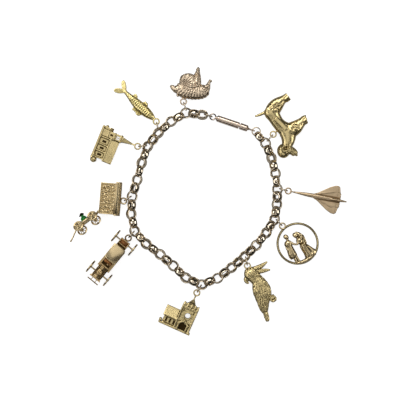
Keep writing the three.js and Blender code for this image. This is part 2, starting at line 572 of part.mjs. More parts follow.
const WINDOW = [[0.22, 0.5], [0.8, 0.14], [0.8, 0.86]]; // shares of the radius and of a spoke's turn
const HUB_REACH = 0.8; // how far a hub stands out of its wheel, in tyre widths
const BEARING_WALL = 0.35;

// A spoked wheel standing in the XZ plane, with its middle at the origin.
function wheel(r, thick, spokes) {
  const disc = new THREE.Shape().absarc(0, 0, r, 0, 2 * Math.PI);
  const step = 2 * Math.PI / spokes;
  for (let i = 0; i < spokes; i++) {
    disc.holes.push(new THREE.Path(WINDOW.map(([share, turn]) =>
      new THREE.Vector2(share * r * Math.cos((i + turn) * step), share * r * Math.sin((i + turn) * step)))));
  }
  const flat = new THREE.ExtrudeGeometry(disc,
    { depth: thick, bevelEnabled: false, curveSegments: WHEEL_CURVE });
  return solid(flat).rotate([90, 0, 0]).translate([0, thick / 2, 0]);
}

// Two wheels on an axle whose ends stand out a little as hubs.
function wheelSet({ wheelR, tyre, track, axle }) {
  const reach = track / 2 + tyre * HUB_REACH;
  const wheels = [-1, 1].map((side) => wheel(wheelR, tyre, SPOKES).translate([0, side * track / 2, 0]));
  return fused([...wheels, rod(new THREE.Vector3(0, -reach, 0), new THREE.Vector3(0, reach, 0), axle)]);
}

// A bearing plate in the XZ plane, with a hole for the axle at the origin.
function bearing(high, half, hole, thick, y) {
  const plate = new THREE.Shape([[-half, -half], [half, -half], [half, high], [-half, high]]
    .map(([x, z]) => new THREE.Vector2(x, z)));
  plate.holes.push(new THREE.Path().absarc(0, 0, hole, 0, 2 * Math.PI, true));
  return solid(new THREE.ExtrudeGeometry(plate, { depth: thick, bevelEnabled: false, curveSegments: 5 })
    .rotateX(Math.PI / 2).translate(0, y + thick / 2, 0));
}

const CAR = { length: 21.3, wheelR: 2.75, tyre: 0.6, track: 8.4, axle: 0.3, floor: 3.3, rise: 4.6,
  neck: 0.35 };
const CAR_AXLES = { rear: 0.11, front: 0.81, bearingSide: 1.6, bearingThick: 0.6 };
// Shares of the car's length, and of its rise above the chassis.
const CAR_BLOCKS = [
  { x0: 0.06, x1: 0.93, y0: -0.095, y1: 0.095, z0: 0, z1: 0.13 }, // chassis
  { x0: 0.06, x1: 0.17, y0: -0.09, y1: 0.09, z0: 0, z1: 0.48 }, // rear seat box
  { x0: 0.21, x1: 0.48, y0: -0.1, y1: 0.1, z0: 0, z1: 0.94 }, // cabin
  { x0: 0.195, x1: 0.5, y0: -0.118, y1: 0.118, z0: 0.91, z1: 1 }, // roof
  { x0: 0.52, x1: 0.6, y0: -0.085, y1: 0.085, z0: 0, z1: 0.35 }, // front seat
  { x0: 0.63, x1: 0.655, y0: -0.09, y1: 0.09, z0: 0, z1: 0.65 }, // dash
  { x0: 0.91, x1: 1.0, y0: -0.03, y1: 0.03, z0: 0, z1: 0.13 }, // front irons
];
const SEAT_WELL = [{ x0: 0.08, x1: 0.15, y0: -0.07, y1: 0.07, z0: 0.26, z1: 0.65 }];
const BONNET = { x0: 0.66, x1: 0.88, section: [[-0.065, 0.07], [0.065, 0.07], [0.065, 0.39], [0.035, 0.52],
  [-0.035, 0.52], [-0.065, 0.39]] };
const FILLER = { along: 0.8, r: 0.55, low: 0.43, high: 0.63 };
const FRONT_BAR = { along: 0.985, half: 0.12, level: 0.065, r: 0.35 };
const NECK_END = { along: 0.08, level: 0.065 };
const AXLE_GAP = 0.25;

function car(level) {
  const { length: l, wheelR, axle, floor, rise } = CAR;
  const at = (x, y, z) => new THREE.Vector3(x * l, y * l, floor + z * rise);
  const hole = axle + AXLE_GAP;
  const axles = [CAR_AXLES.rear * l, CAR_AXLES.front * l];
  const bearings = axles.flatMap((x) => [-1, 1].map((side) =>
    bearing(floor - wheelR + BEARING_WALL, hole + BEARING_WALL, hole, CAR_AXLES.bearingThick,
      side * CAR_AXLES.bearingSide).translate([x, 0, wheelR])));
  const bonnet = skin([BONNET.x0, BONNET.x1].map((x) => BONNET.section.map(([y, z]) => at(x, y, z))));
  const filler = rod(at(FILLER.along, 0, FILLER.low), at(FILLER.along, 0, FILLER.high), FILLER.r);
  const bar = rod(at(FRONT_BAR.along, -FRONT_BAR.half, FRONT_BAR.level),
    at(FRONT_BAR.along, FRONT_BAR.half, FRONT_BAR.level), FRONT_BAR.r);
  const neck = rod(new THREE.Vector3(LOOP_R, 0, level), at(NECK_END.along, 0, NECK_END.level), CAR.neck);
  const shell = fused([...blocks(CAR_BLOCKS, l, rise, floor), bonnet, filler, bar, ...bearings]);
  const body = fused([shell.subtract(blocks(SEAT_WELL, l, rise, floor)[0]), neck, loop(level)]);
  return [{ body }, ...axles.map((x, i) => ({
    name: ['rear_wheels', 'front_wheels'][i],
    body: wheelSet(CAR).translate([x, 0, wheelR]),
  }))];
}

const VAN = { long: 11.6, wide: 5.7, thick: 5.4, roof: 2.0, lift: 0.2, back: 0.55, front: 0.47,
  wheelR: 2.0, tyre: 0.5, track: 4.2, axle: 0.3, base: 6.4 };
// The roof's section in shares of its depth and of the van's thickness, and its ends in shares of the length.
const VAN_ROOF = { outline: [[0.0, 0.5], [0.35, 0.12], [1.0, 0.0], [1.0, 1.0], [0.35, 0.9]],
  y0: -0.6, y1: 0.5, lap: 0.15 };
const VAN_PANES = [-0.17, -0.05].map((y) => ({ x0: 0.28, x1: 0.42, y0: y - 0.03, y1: y + 0.03 }));
const PANE_FLOOR = 0.9; // share of the van's thickness
const ARM = { aside: 0.36, inset: 0.4, r: 0.55, drop: [2.3, 3.1, 0.6] };
// The carriage lies on its side, swung out and rolled: its place, the way it points and its roll.
const CARRIAGE = { x: 13.0, y: 9.4, z: 3.42, heading: 40.6, roll: 120, deckLow: 0.75, deckHigh: 1.3,
  deckHalf: 1.3, deckShare: 0.62, bearingSide: 0.9, bearingThick: 0.5,
  drawbar: [1.38, -2.0, -0.9], drawbarR: 0.35 };
const DRIVER = { r: 1.3, high: 2.7, cap: 0.8, capR: 1.1, gap: 0.15 };
// Turned profiles in shares of the radius and of the height.
const DRIVER_PROFILE = [[0, 0], [0.75, 0.0], [1.0, 0.3], [0.95, 0.62], [0.6, 0.9], [0, 1]];
const CAP_PROFILE = [[0, 0], [0.85, 0.0], [0.85, 0.35], [0.5, 0.85], [0, 1]];

function swung(body) {
  return body.rotate([CARRIAGE.roll, 0, 0]).rotate([0, 0, CARRIAGE.heading])
    .translate([CARRIAGE.x, CARRIAGE.y, CARRIAGE.z]);
}

function turned(profile, segments = 10) {
  return solid(new THREE.LatheGeometry(profile.map(([r, y]) => new THREE.Vector2(r, y)), segments)
    .rotateX(Math.PI / 2));
}

// The caravan lies on its side, with its wheeled carriage swung out beside it.
function caravan(level) {
  const { long, wide, thick, roof, lift, base, axle } = VAN;
  const x0 = LOOP_R + roof;
  const walls = block(x0 - VAN_ROOF.lap, x0 + wide, -VAN.back * long, VAN.front * long, lift, thick);
  const panes = VAN_PANES.map((p) => block(x0 + p.x0 * wide, x0 + p.x1 * wide, p.y0 * long, p.y1 * long,
    PANE_FLOOR * thick, 2 * thick));
  const top = skin([VAN_ROOF.y0, VAN_ROOF.y1].map((y) => VAN_ROOF.outline.map(([x, z]) =>
    new THREE.Vector3(LOOP_R - VAN_ROOF.lap + x * roof, y * long, z * (thick + lift)))));
  const hole = axle + AXLE_GAP;
  const { deckLow, deckHigh, deckHalf, deckShare, bearingSide, bearingThick, drawbar } = CARRIAGE;
  const bearings = [-1, 1].flatMap((end) => [-1, 1].map((side) =>
    bearing(deckHigh - WELD, hole + BEARING_WALL, hole, bearingThick, side * bearingSide)
      .translate([end * base / 2, 0, 0])));
  const pull = rod(new THREE.Vector3(deckShare * base, 0, (deckLow + deckHigh) / 2),
    new THREE.Vector3(drawbar[0] * base, drawbar[1], drawbar[2]), CARRIAGE.drawbarR);
  const deck = swung(fused([
    block(-deckShare * base, deckShare * base, -deckHalf, deckHalf, deckLow, deckHigh), ...bearings, pull,
  ]));
  const arm = rod(new THREE.Vector3(x0 + wide - ARM.inset, ARM.aside * long, thick / 2),
    new THREE.Vector3(CARRIAGE.x - ARM.drop[0], CARRIAGE.y - ARM.drop[1], CARRIAGE.z - ARM.drop[2]), ARM.r);
  const walled = panes.reduce((left, pane) => left.subtract(pane), walls);
  const seat = deckHigh + DRIVER.gap;
  const sized = (profile, r, high) => turned(profile.map(([x, y]) => [x * r, y * high]));
  const driver = sized(DRIVER_PROFILE, DRIVER.r, DRIVER.high);
  const cap = sized(CAP_PROFILE, DRIVER.capR, DRIVER.cap);
  return [
    { body: fused([loop(level), walled, top, arm, deck]) },
    ...[-1, 1].map((e) => ({
      name: e < 0 ? 'rear_wheels' : 'front_wheels',
      body: swung(wheelSet(VAN).translate([e * base / 2, 0, 0])),
    })),
    { name: 'driver', body: swung(driver.translate([0, 0, seat])), color: 0x2f8a4c, metalness: 0.1 },
    { name: 'driver_cap', color: 0x3a322b,
      body: swung(cap.translate([0, 0, seat + DRIVER.high + DRIVER.gap])) },
  ];
}

// Clasp.
const BARREL = { r: 1.25, neck: 0.45, collar: 0.3, bore: 0.8, stem: 0.55, plug: 3.6, engaged: 2.6, seam: 0.3,
  dome: 0.7 };
const CLASP_TOWARD = -17;

// The sleeve hangs on the last link; the plug screws into it and holds the ring of the first link.
function addClasp() {
  const last = jumpRing(flats.length - 1, CLASP_TOWARD);
  add('jump_ring_clasp_sleeve', last.body, CHAIN_COLOR, 0.25);
  const way = flats[0].clone().sub(flats[1]).normalize();
  const endLink = flats[0].clone().lerp(flats[1], 0.5);
  const linkRing = endLink.clone().addScaledVector(way, JUMP_OUT);
  add('jump_ring_clasp_plug', solid(ring(JUMP_R, JUMP_WIRE)
    .translate(linkRing.x, linkRing.y, STAND_LEVEL)), CHAIN_COLOR, 0.25);
  const from = last.loopAt;
  const toSleeve = from.clone().sub(linkRing).normalize();
  const to = linkRing.clone().addScaledVector(toSleeve, JUMP_R + LOOP_PLAY);
  const span = to.distanceTo(from);
  const heading = THREE.MathUtils.radToDeg(Math.atan2(to.y - from.y, to.x - from.x));
  const start = LOOP_R;
  const end = span - LOOP_R;
  const seam = end - BARREL.plug;
  const lay = (body) => body.rotate([0, 90, 0]).translate([0, 0, STAND_LEVEL]).rotate([0, 0, heading])
    .translate([from.x, from.y, 0]);
  const floor = seam - BARREL.engaged - BARREL.seam;
  const { r, neck, collar, dome, bore, stem } = BARREL;
  const sleeve = turned([[0, start], [neck, start], [neck, start + collar], [r, start + collar + dome],
    [r, seam - BARREL.seam], [bore, seam - BARREL.seam], [bore, floor], [0, floor]]);
  const plug = turned([[0, floor + BARREL.seam], [stem, floor + BARREL.seam], [stem, seam], [r, seam],
    [r, end - collar - dome], [neck, end - collar], [neck, end], [0, end]]);
  const plugLoop = solid(ring(LOOP_R, LOOP_WIRE).rotateX(Math.PI / 2).translate(0, 0, span));
  const sleeveLoop = solid(ring(LOOP_R, LOOP_WIRE).rotateY(Math.PI / 2));
  add('clasp_sleeve', lay(fused([sleeve, sleeveLoop])), CHAIN_COLOR, 0.2);
  add('clasp_plug', lay(fused([plug, plugLoop])), CHAIN_COLOR, 0.2);
}

// Assembly.
add('belcher_chain', chain(), CHAIN_COLOR, 0.25);
addClasp();
for (const charm of CHARMS) {
  const jump = jumpRing(charm.link, charm.toward);
  add(`jump_ring_${charm.name}`, jump.body, CHAIN_COLOR, 0.25);
  for (const piece of charm.build(jump.level)) {
    const name = piece.name ? `${charm.name}_${piece.name}` : charm.name;
    add(name, piece.body.rotate([0, 0, charm.heading]).translate([jump.loopAt.x, jump.loopAt.y, 0]),
      piece.color ?? charm.color, 0.4, piece.metalness ?? 0.9);
  }
}

// The origin is the middle of the bounding box's base.
const bounds = new THREE.Box3().setFromObject(part);
const middle = bounds.getCenter(new THREE.Vector3());
part.traverse((node) => node.isMesh && node.geometry.translate(-middle.x, -middle.y, -bounds.min.z));

export default part;
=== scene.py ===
"""Charm bracelet: a belcher chain with a barrel clasp and ten cast gold charms, laid out on a table."""
import math

import bmesh
import bpy
import numpy as np
from mathutils import Matrix, Vector


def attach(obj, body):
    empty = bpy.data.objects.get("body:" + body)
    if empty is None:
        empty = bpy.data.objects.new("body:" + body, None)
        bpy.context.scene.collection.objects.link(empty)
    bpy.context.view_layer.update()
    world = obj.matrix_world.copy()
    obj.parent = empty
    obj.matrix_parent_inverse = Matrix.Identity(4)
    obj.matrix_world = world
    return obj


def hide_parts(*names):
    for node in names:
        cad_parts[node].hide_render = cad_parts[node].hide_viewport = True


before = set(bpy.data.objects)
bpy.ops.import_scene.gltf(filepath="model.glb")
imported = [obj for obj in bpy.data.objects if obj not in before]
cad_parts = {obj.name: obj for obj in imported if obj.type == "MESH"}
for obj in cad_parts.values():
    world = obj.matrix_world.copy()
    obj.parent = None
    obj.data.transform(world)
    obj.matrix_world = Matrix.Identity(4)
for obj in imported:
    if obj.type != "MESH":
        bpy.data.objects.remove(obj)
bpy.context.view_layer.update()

bl_info = {
    "name": "Charm bracelet",
    "version": (1, 0, 0),
    "blender": (4, 5, 0),
    "location": "View3D > Sidebar > Charm bracelet",
    "description": "Builds the chain, the clasp and the cast charms round the packed frame",
    "category": "Add Mesh",
}

MM = 0.001
BODY = "bracelet"
UP = Vector((0, 0, 1))
THINNEST = 0.02  # least half width of a limb, in millimetres

# Middle of the part's box before it was moved to the origin, as in the solids.
SHIFT = Vector((-0.105, -0.203, 0))
# Route of the chain: chosen points, and the pairs of links since the last point that has a count.
ROUTE = [
    (17.0, 27.5, 0), (21.5, 22.6, 1), (24.5, 14.4, 0), (26.0, 5.2, 3), (24.9, -6.2, 2), (20.6, -12.6, 0),
    (13.6, -20.2, 3), (-2.7, -30.9, 3), (-16.5, -20.9, 0), (-28.0, -10.6, 5), (-29.0, 2.5, 2),
    (-27.1, 8.8, 0), (-23.1, 21.4, 3), (-15.4, 29.9, 0), (-8.6, 34.1, 3), (-2.5, 33.4, 1),
]
ROUTE_STEPS = 40
# Links: outer radius, wall, share of that across, width of the band, gap where they touch; how far each leans
# in degrees, with the seed of the draw, and the fewest points that a whole chain has.
LINK = {"r": 2.3, "wall": 0.6, "across": 0.88, "band": 1.9, "contact": 0.05, "lean": (18, 40), "seed": 11,
        "fewest": 20000}
STAND_LEVEL = LINK["r"] * LINK["across"]  # a link on edge stands on its long side
JUMP = {"r": 1.541, "wire": 0.5}
LOOP = {"r": 1.1, "wire": 0.6}
# How the hollows are found: rounds of averaging, rounds of blur, and the percentage of points within range.
HOLLOW = {"rounds": 3, "blur": 2, "percent": 92}
# Charms: where each one's own loop is, its level, the way the charm lies, and its jump ring's place and way.
CHARMS = {
    "terrier": (24.302, 25.798, 1.855, -49, 23.071, 24.43, 48),
    "jet": (29.999, 4.359, 1.811, -10.6, 28.221, 4.836, -15),
    "wedding_couple": (27.805, -8.897, 1.811, -49, 26.527, -7.573, -46),
    "cockatoo": (14.543, -23.941, 1.841, -70, 14.16, -22.14, -78),
    "short_spire_church": (-4.611, -34.189, 1.904, -114.3, -3.69, -32.595, -120),
    "car": (-30.54, -13.44, 1.946, -129.6, -29.332, -12.051, -131),
    "caravan": (-32.314, 0.566, 1.967, 175.4, -30.753, 1.542, -148),
    "tall_spire_church": (-27.011, 21.251, 1.94, 157.6, -25.177, 21.412, -175),
    "fish": (-19.954, 30.635, 1.919, 136.9, -19.509, 28.849, 104),
    "lion_dog": (-9.674, 38.158, 1.832, 180, -9.135, 36.397, 107),
}
CLASP = {"from": (1.46, 32.424, STAND_LEVEL), "to": (16.13, 27.456, STAND_LEVEL),
         "first_ring": (17.873, 26.866, STAND_LEVEL), "last_ring": (-0.3, 32.962, 1.811), "toward": -17,
         "r": 1.25}


# Meshes, in millimetres

def faced(way):
    """A turn whose Z is way and whose Y is as near up as it can be."""
    z = Vector(way).normalized()
    x = UP.cross(z)
    if x.length < 1e-6:
        x = Vector((1, 0, 0)).cross(z) if abs(z.x) < 0.9 else Vector((0, 1, 0)).cross(z)
    x.normalize()
    return Matrix((x, z.cross(x), z)).transposed().to_4x4()


def eased(rows, steps):
    """The rows with more between them, on a smooth curve through each column."""
    rows = [np.array(r, float) for r in rows]
    made = []
    for i in range(len(rows) - 1):
        b, c = rows[i], rows[i + 1]
        a = rows[i - 1] if i else 2 * b - c
        d = rows[i + 2] if i + 2 < len(rows) else 2 * c - b
        for k in range(steps):
            t = k / steps
            made.append(b + 0.5 * t * (c - a + t * (2 * a - 5 * b + 4 * c - d + t * (3 * (b - c) + d - a))))
    return made + [rows[-1]]


def edges_of(verts):
    """Every edge at these points, once, in a fixed order."""
    return list(dict.fromkeys(e for v in verts for e in v.link_edges))


class Work:
    """A mesh in the making, in millimetres, in a charm's own frame: X runs away from its loop."""

    def __init__(self):
        self.bm = bmesh.new()

    def eased_edges(self, verts, soft, sharper=None):
        """Rounds the edges at these points by soft, or only those that turn by more than sharper radians."""
        if not soft:
            return
        bmesh.ops.bevel(self.bm, geom=[e for e in edges_of(verts)
                                       if sharper is None or e.calc_face_angle(0) > sharper],
                        offset=soft, affect="EDGES", segments=2, profile=0.5, material=-1)

    def box(self, low, high, soft=0.12):
        low, high = Vector(low), Vector(high)
        place = Matrix.Translation((low + high) / 2) @ Matrix.Diagonal((*(high - low), 1))
        made = bmesh.ops.create_cube(self.bm, size=1, matrix=place)
        self.eased_edges(made["verts"], soft)

    def ball(self, at, radii, turn=0.0):
        place = (Matrix.Translation(at) @ Matrix.Rotation(math.radians(turn), 4, "Z")
                 @ Matrix.Diagonal((*radii, 1)))
        bmesh.ops.create_uvsphere(self.bm, u_segments=24, v_segments=14, radius=1, matrix=place)

    def rod(self, a, b, r, end=None, sides=20, soft=0.0):
        a, b = Vector(a), Vector(b)
        made = bmesh.ops.create_cone(self.bm, cap_ends=True, segments=sides, radius1=r,
                                     radius2=r if end is None else end, depth=(b - a).length,
                                     matrix=Matrix.Translation((a + b) / 2) @ faced(b - a))
        self.eased_edges(made["verts"], soft, 1)

    def lofted(self, places, sides):
        """A closed skin through round sections of radius 1, each turned and scaled into its place."""
        before = None
        for i, place in enumerate(places):
            made = bmesh.ops.create_circle(self.bm, cap_ends=i in (0, len(places) - 1), radius=1,
                                           segments=sides, matrix=place)
            edges = edges_of(made["verts"])
            if before:
                bmesh.ops.bridge_loops(self.bm, edges=before + edges)
            before = edges

    def run(self, rows, steps, sides):
        """A limb through rows of x, y, z, half width and half depth."""
        rows = eased(rows, steps)
        places = []
        for i, row in enumerate(rows):
            way = Vector(rows[min(i + 1, len(rows) - 1)][:3]) - Vector(rows[max(i - 1, 0)][:3])
            places.append(Matrix.Translation(row[:3]) @ faced(way)
                          @ Matrix.Diagonal((max(row[3], THINNEST), max(row[4], THINNEST), 1, 1)))
        self.lofted(places, sides)

    def limbs(self, size, table, steps, sides):
        """Limbs through rows of along, aside, wide (shares of length), deep, level (shares of thickness)."""
        length, thick = size
        for rows in table:
            self.run([(r[0] * length, r[1] * length, (r[4] if len(r) > 4 else 0.5) * thick, r[2] * length,
                       r[3] * thick) for r in rows], steps, sides)

    def ring(self, at, mean, wire, axis=UP, flat=1.0, steps=48):
        """A round ring whose wire is wire thick, and flat times as high along its axis."""
        place = Matrix.Translation(at) @ faced(axis)
        made = bmesh.ops.create_circle(self.bm, radius=wire / 2, segments=14, matrix=(
            place @ Matrix.Translation((mean, 0, 0)) @ Matrix.Rotation(math.pi / 2, 4, "X")
            @ Matrix.Diagonal((1, flat, 1, 1))))
        bmesh.ops.spin(self.bm, geom=made["verts"] + edges_of(made["verts"]), cent=at,
                       axis=place.to_3x3() @ UP, angle=2 * math.pi, steps=steps, use_merge=True)

    def oval(self, at, long, wide, wire, turn):
        """An oval ring of wire lying flat, its long side turned by that angle from X."""
        angles = [math.radians(30 * k) for k in range(14)]
        c, d = math.cos(math.radians(turn)), math.sin(math.radians(turn))
        self.run([(at[0] + long * math.cos(a) * c - wide * math.sin(a) * d,
                   at[1] + long * math.cos(a) * d + wide * math.sin(a) * c, at[2], wire / 2, wire / 2)
                  for a in angles], 2, 10)

    def plate(self, outline, low, high, soft=0.0, turn=None):
        """A flat piece with that outline in X and Y between two heights."""
        verts = [self.bm.verts.new((x, y, low)) for x, y in outline]
        face = self.bm.faces.new(verts)
        made = bmesh.ops.extrude_face_region(self.bm, geom=[face])
        top = [v for v in made["geom"] if isinstance(v, bmesh.types.BMVert)]
        bmesh.ops.translate(self.bm, vec=(0, 0, high - low), verts=top)
        if turn:
            bmesh.ops.transform(self.bm, matrix=turn, verts=verts + top)
        self.eased_edges(verts + top, soft)

    def turned(self, profile, a, b, steps=32):
        """A lathe-turned piece on the line from a to b: rows of radius and distance."""
        a, b = Vector(a), Vector(b)
        place = Matrix.Translation(a) @ faced(b - a)
        others = set(self.bm.verts)
        verts = [self.bm.verts.new(place @ Vector((max(r, 0), 0, d))) for r, d in profile]
        edges = [self.bm.edges.new(pair) for pair in zip(verts, verts[1:])]
        bmesh.ops.spin(self.bm, geom=verts + edges, cent=a, axis=b - a, angle=2 * math.pi, steps=steps,
                       use_merge=True)
        bmesh.ops.remove_doubles(self.bm, verts=[v for v in self.bm.verts if v not in others], dist=1e-4)

    def add(self, part, place):
        """Adds another piece of work, turned into its place."""
        mesh = part.mesh("part")
        mesh.transform(place)
        self.bm.from_mesh(mesh)

    def lug(self, level, to, r=None):
        """The loop at the origin and the bar from it to the charm."""
        self.ring((0, 0, level), LOOP["r"], LOOP["wire"])
        way = Vector((to[0], to[1], 0)).normalized() * LOOP["r"]
        self.rod((way.x, way.y, level), to, r or LOOP["wire"] / 2, sides=14)

    def mesh(self, name):
        bmesh.ops.recalc_face_normals(self.bm, faces=self.bm.faces)
        made = bpy.data.meshes.new(name)
        self.bm.to_mesh(made)
        self.bm.free()
        return made


def applied(mesh, name, *modifiers):
    """The mesh with modifiers, each a kind and its settings, worked into it."""
    obj = bpy.data.objects.new(name, mesh)
    bpy.context.scene.collection.objects.link(obj)
    for kind, settings in modifiers:
        modifier = obj.modifiers.new(kind.title(), kind)
        for key, value in settings.items():
            setattr(modifier, key, value)
    graph = bpy.context.evaluated_depsgraph_get()
    made = bpy.data.meshes.new_from_object(obj.evaluated_get(graph))
    bpy.data.objects.remove(obj)
    made.name = name
    return made


def combined(mesh, name, other, operation):
    """The mesh united with the other one, or with the other one taken out of it."""
    tool = bpy.data.objects.new(other.name, other)
    bpy.context.scene.collection.objects.link(tool)
    made = applied(mesh, name, ("BOOLEAN", {"operation": operation, "object": tool, "solver": "MANIFOLD"}))
    bpy.data.objects.remove(tool)
    return made


def skinned(work, name, voxel, smooth):
    """The pieces of a casting run together under one smooth skin."""
    return applied(work.mesh(name), name, ("REMESH", {"mode": "VOXEL", "voxel_size": voxel}),
                   ("SMOOTH", {"factor": 0.5, "iterations": smooth}))


def points_of(mesh):
    points = np.empty(len(mesh.vertices) * 3)
    mesh.vertices.foreach_get("co", points)
    return points.reshape(-1, 3)


def normals_of(mesh):
    normals = np.empty(len(mesh.vertices) * 3)
    mesh.vertex_normals.foreach_get("vector", normals)
    return normals.reshape(-1, 3)


def carved(mesh, relief):
    """Raises and sinks the skin by relief(points, normals), in millimetres."""
    points, normals = points_of(mesh), normals_of(mesh)
    points = points + normals * relief(points, normals)[:, None]
    mesh.vertices.foreach_set("co", points.ravel())
    mesh.update()


def hollowed(mesh):
    """Writes how sunk each point is, from 0 on ridges to 1 in the hollows, as the attribute hollow."""
    points, normals = points_of(mesh), normals_of(mesh)
    pairs = np.empty(len(mesh.edges) * 2, dtype=np.int64)
    mesh.edges.foreach_get("vertices", pairs)
    pairs = pairs.reshape(-1, 2)
    count = np.bincount(pairs.ravel(), minlength=len(points)).clip(1)

    def mean(values):
        total = np.zeros_like(values)
        np.add.at(total, pairs[:, 0], values[pairs[:, 1]])
        np.add.at(total, pairs[:, 1], values[pairs[:, 0]])
        return total / (count if values.ndim == 1 else count[:, None])

    around = points
    for _ in range(HOLLOW["rounds"]):
        around = mean(around)
    sunk = ((around - points) * normals).sum(axis=1)
    for _ in range(HOLLOW["blur"]):
        sunk = mean(sunk)
    spread = np.percentile(np.abs(sunk), HOLLOW["percent"]) + 1e-6
    # gold() uses this attribute to paint a darker colour into the hollows, partly patina and partly painted
    # shade.
    layer = mesh.attributes.new("hollow", "FLOAT", "POINT")
    layer.data.foreach_set("value", np.clip(0.5 + 0.5 * sunk / spread, 0, 1).astype(np.float32))


def placed(mesh, name, place, material, slot, *nodes, body=BODY, sunk=True, edge=60):
    """Turns a mesh in millimetres into a piece of the bracelet in its final place, all above the table."""
    if sunk:
        hollowed(mesh)
    mesh.transform(place)
    points = points_of(mesh)
    points[:, 2] = np.maximum(points[:, 2], 0.0)
    mesh.vertices.foreach_set("co", points.ravel())
    mesh.transform(Matrix.Scale(MM, 4))
    mesh.materials.clear()
    mesh.materials.append(material)
    mesh.shade_smooth()
    mesh.set_sharp_from_angle(angle=math.radians(edge))
    obj = bpy.data.objects.new(name, mesh)
    bpy.context.scene.collection.objects.link(obj)
    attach(obj, body)
    if nodes:
        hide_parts(*nodes)
    return obj


def charm_place(name):
    x, y, _, heading, *_ = CHARMS[name]
    return Matrix.Translation((x, y, 0)) @ Matrix.Rotation(math.radians(heading), 4, "Z")


def level_of(name):
    return CHARMS[name][2]


# Relief, as functions of points in millimetres

def step(value, low, high):
    t = np.clip((value - low) / (high - low), 0, 1)
    return t * t * (3 - 2 * t)


def hump(value, low, high, soft):
    return step(value, low - soft, low + soft) * (1 - step(value, high - soft, high + soft))


def waves(points, scale, seed):
    """Soft noise from -1 to 1: a few sine waves that cross each other."""
    draw = np.random.default_rng(seed)
    total = np.zeros(len(points))
    for _ in range(7):
        way = draw.normal(size=3)
        way *= draw.uniform(0.7, 1.4) / np.linalg.norm(way) * 2 * math.pi / scale
        total += np.sin(points @ way + draw.uniform(0, 2 * math.pi))
    return total / 2.65


# Numbers that give each cell of space a different offset, along each axis.
SCATTER = {"cell": (127.1, 311.7, 74.7), "axes": (0.0, 5.3, 11.9), "times": 43758.5453}


def grains(points, scale, seed, share=0.75):
    """Rounded beads of a random pattern, from 0 to 1."""
    cell = np.floor(points / scale)
    best = np.full(len(points), 9.0)
    for shift in np.ndindex(3, 3, 3):
        there = cell + np.array(shift) - 1
        code = (there @ np.array(SCATTER["cell"]))[:, None] + np.array(SCATTER["axes"])
        offset = np.modf(np.abs(np.sin(code + seed) * SCATTER["times"]))[0]
        best = np.minimum(best, np.linalg.norm(points / scale - there - offset, axis=1))
    return np.clip(1 - best / share, 0, 1)


# Shader maths

class Wire:
    """A number that changes over a surface. Sums and products of wires add Math nodes."""

    def __init__(self, paint, socket):
        self.paint, self.socket = paint, socket

    def math(self, operation, *values):
        made = self.paint.node("ShaderNodeMath", {"operation": operation}, dict(enumerate(values)))
        return Wire(self.paint, made.outputs[0])

    def __add__(self, other):
        return self.math("ADD", self, other)

    __radd__ = __add__

    def __mul__(self, other):
        return self.math("MULTIPLY", self, other)

    __rmul__ = __mul__

    def __sub__(self, other):
        return self.math("SUBTRACT", self, other)

    def __rsub__(self, other):
        return self.math("SUBTRACT", other, self)

    def ramp(self, low, high):
        """From 0 at low to 1 at high."""
        made = self.paint.node("ShaderNodeMapRange", {"interpolation_type": "SMOOTHSTEP"},
                               {"Value": self, "From Min": low, "From Max": high})
        return Wire(self.paint, made.outputs[0])


class Paint:
    """One material and its nodes."""

    def __init__(self, name):
        self.material = bpy.data.materials.new(name)
        self.material.use_nodes = True
        self.nodes, self.links = self.material.node_tree.nodes, self.material.node_tree.links
        self.shader = self.nodes["Principled BSDF"]
        self.place = self.node("ShaderNodeTexCoord").outputs["Object"]

    def feed(self, socket, value):
        if isinstance(value, Wire):
            value = value.socket
        if isinstance(value, bpy.types.NodeSocket):
            self.links.new(value, socket)
        else:
            socket.default_value = (*value, 1.0) if isinstance(value, tuple) and len(value) == 3 and \
                socket.type == "RGBA" else value

    def node(self, kind, settings=None, inputs=None):
        made = self.nodes.new(kind)
        for key, value in (settings or {}).items():
            setattr(made, key, value)
        for key, value in (inputs or {}).items():
            self.feed(made.inputs[key], value)
        return made

    def noise(self, size, detail):
        """Noise whose patches are about size millimetres across."""
        made = self.node("ShaderNodeTexNoise", None,
                         {"Vector": self.place, "Scale": 1 / (size * MM), "Detail": detail})
        return Wire(self, made.outputs["Fac"])

    def attribute(self, name):
        return Wire(self, self.node("ShaderNodeAttribute", {"attribute_name": name}).outputs["Fac"])

    def mixed(self, share, a, b):
        made = self.node("ShaderNodeMix", {"data_type": "RGBA"}, {0: share, 6: a, 7: b})
        return made.outputs[2]

    def bump(self, height, depth):
        """Bump of a height from 0 to 1 that is depth millimetres deep."""
        made = self.node("ShaderNodeBump", None, {"Height": height, "Distance": depth * MM, "Strength": 1.0})
        self.feed(self.shader.inputs["Normal"], made.outputs[0])

    def set(self, **inputs):
        for key, value in inputs.items():
            self.feed(self.shader.inputs[key.replace("_", " ")], value)
        return self.material


def gold(name, base, deep, rough, grain, depth, sunk=(0.52, 0.95), spread=0.1):
    """Old gold: slow changes of tone, a duller and darker tone in the hollows, and fine wear marks."""
    paint = Paint(name)
    cloud = paint.noise(3.5, 3.0)
    wear = paint.noise(grain, 2.0)
    rubbed = tuple(min(1.0, c * 1.12) for c in base)
    tone = paint.mixed(cloud.ramp(0.35, 0.7), tuple(c * 0.9 for c in base), rubbed)
    dull = cloud * spread + wear.ramp(0.3, 0.8) * 0.1
    if sunk:
        # Partly patina and partly painted shade: the colour turns toward the deep tone in the hollows, which
        # are also made rougher.
        hollow = paint.attribute("hollow")
        tone = paint.mixed(hollow.ramp(*sunk), tone, deep)
        dull = dull + hollow.ramp(0.5, 1.0) * 0.25
    if depth:
        paint.bump(wear, depth)
    return paint.set(Base_Color=tone, Metallic=1.0, Roughness=dull + (rough - 0.1))


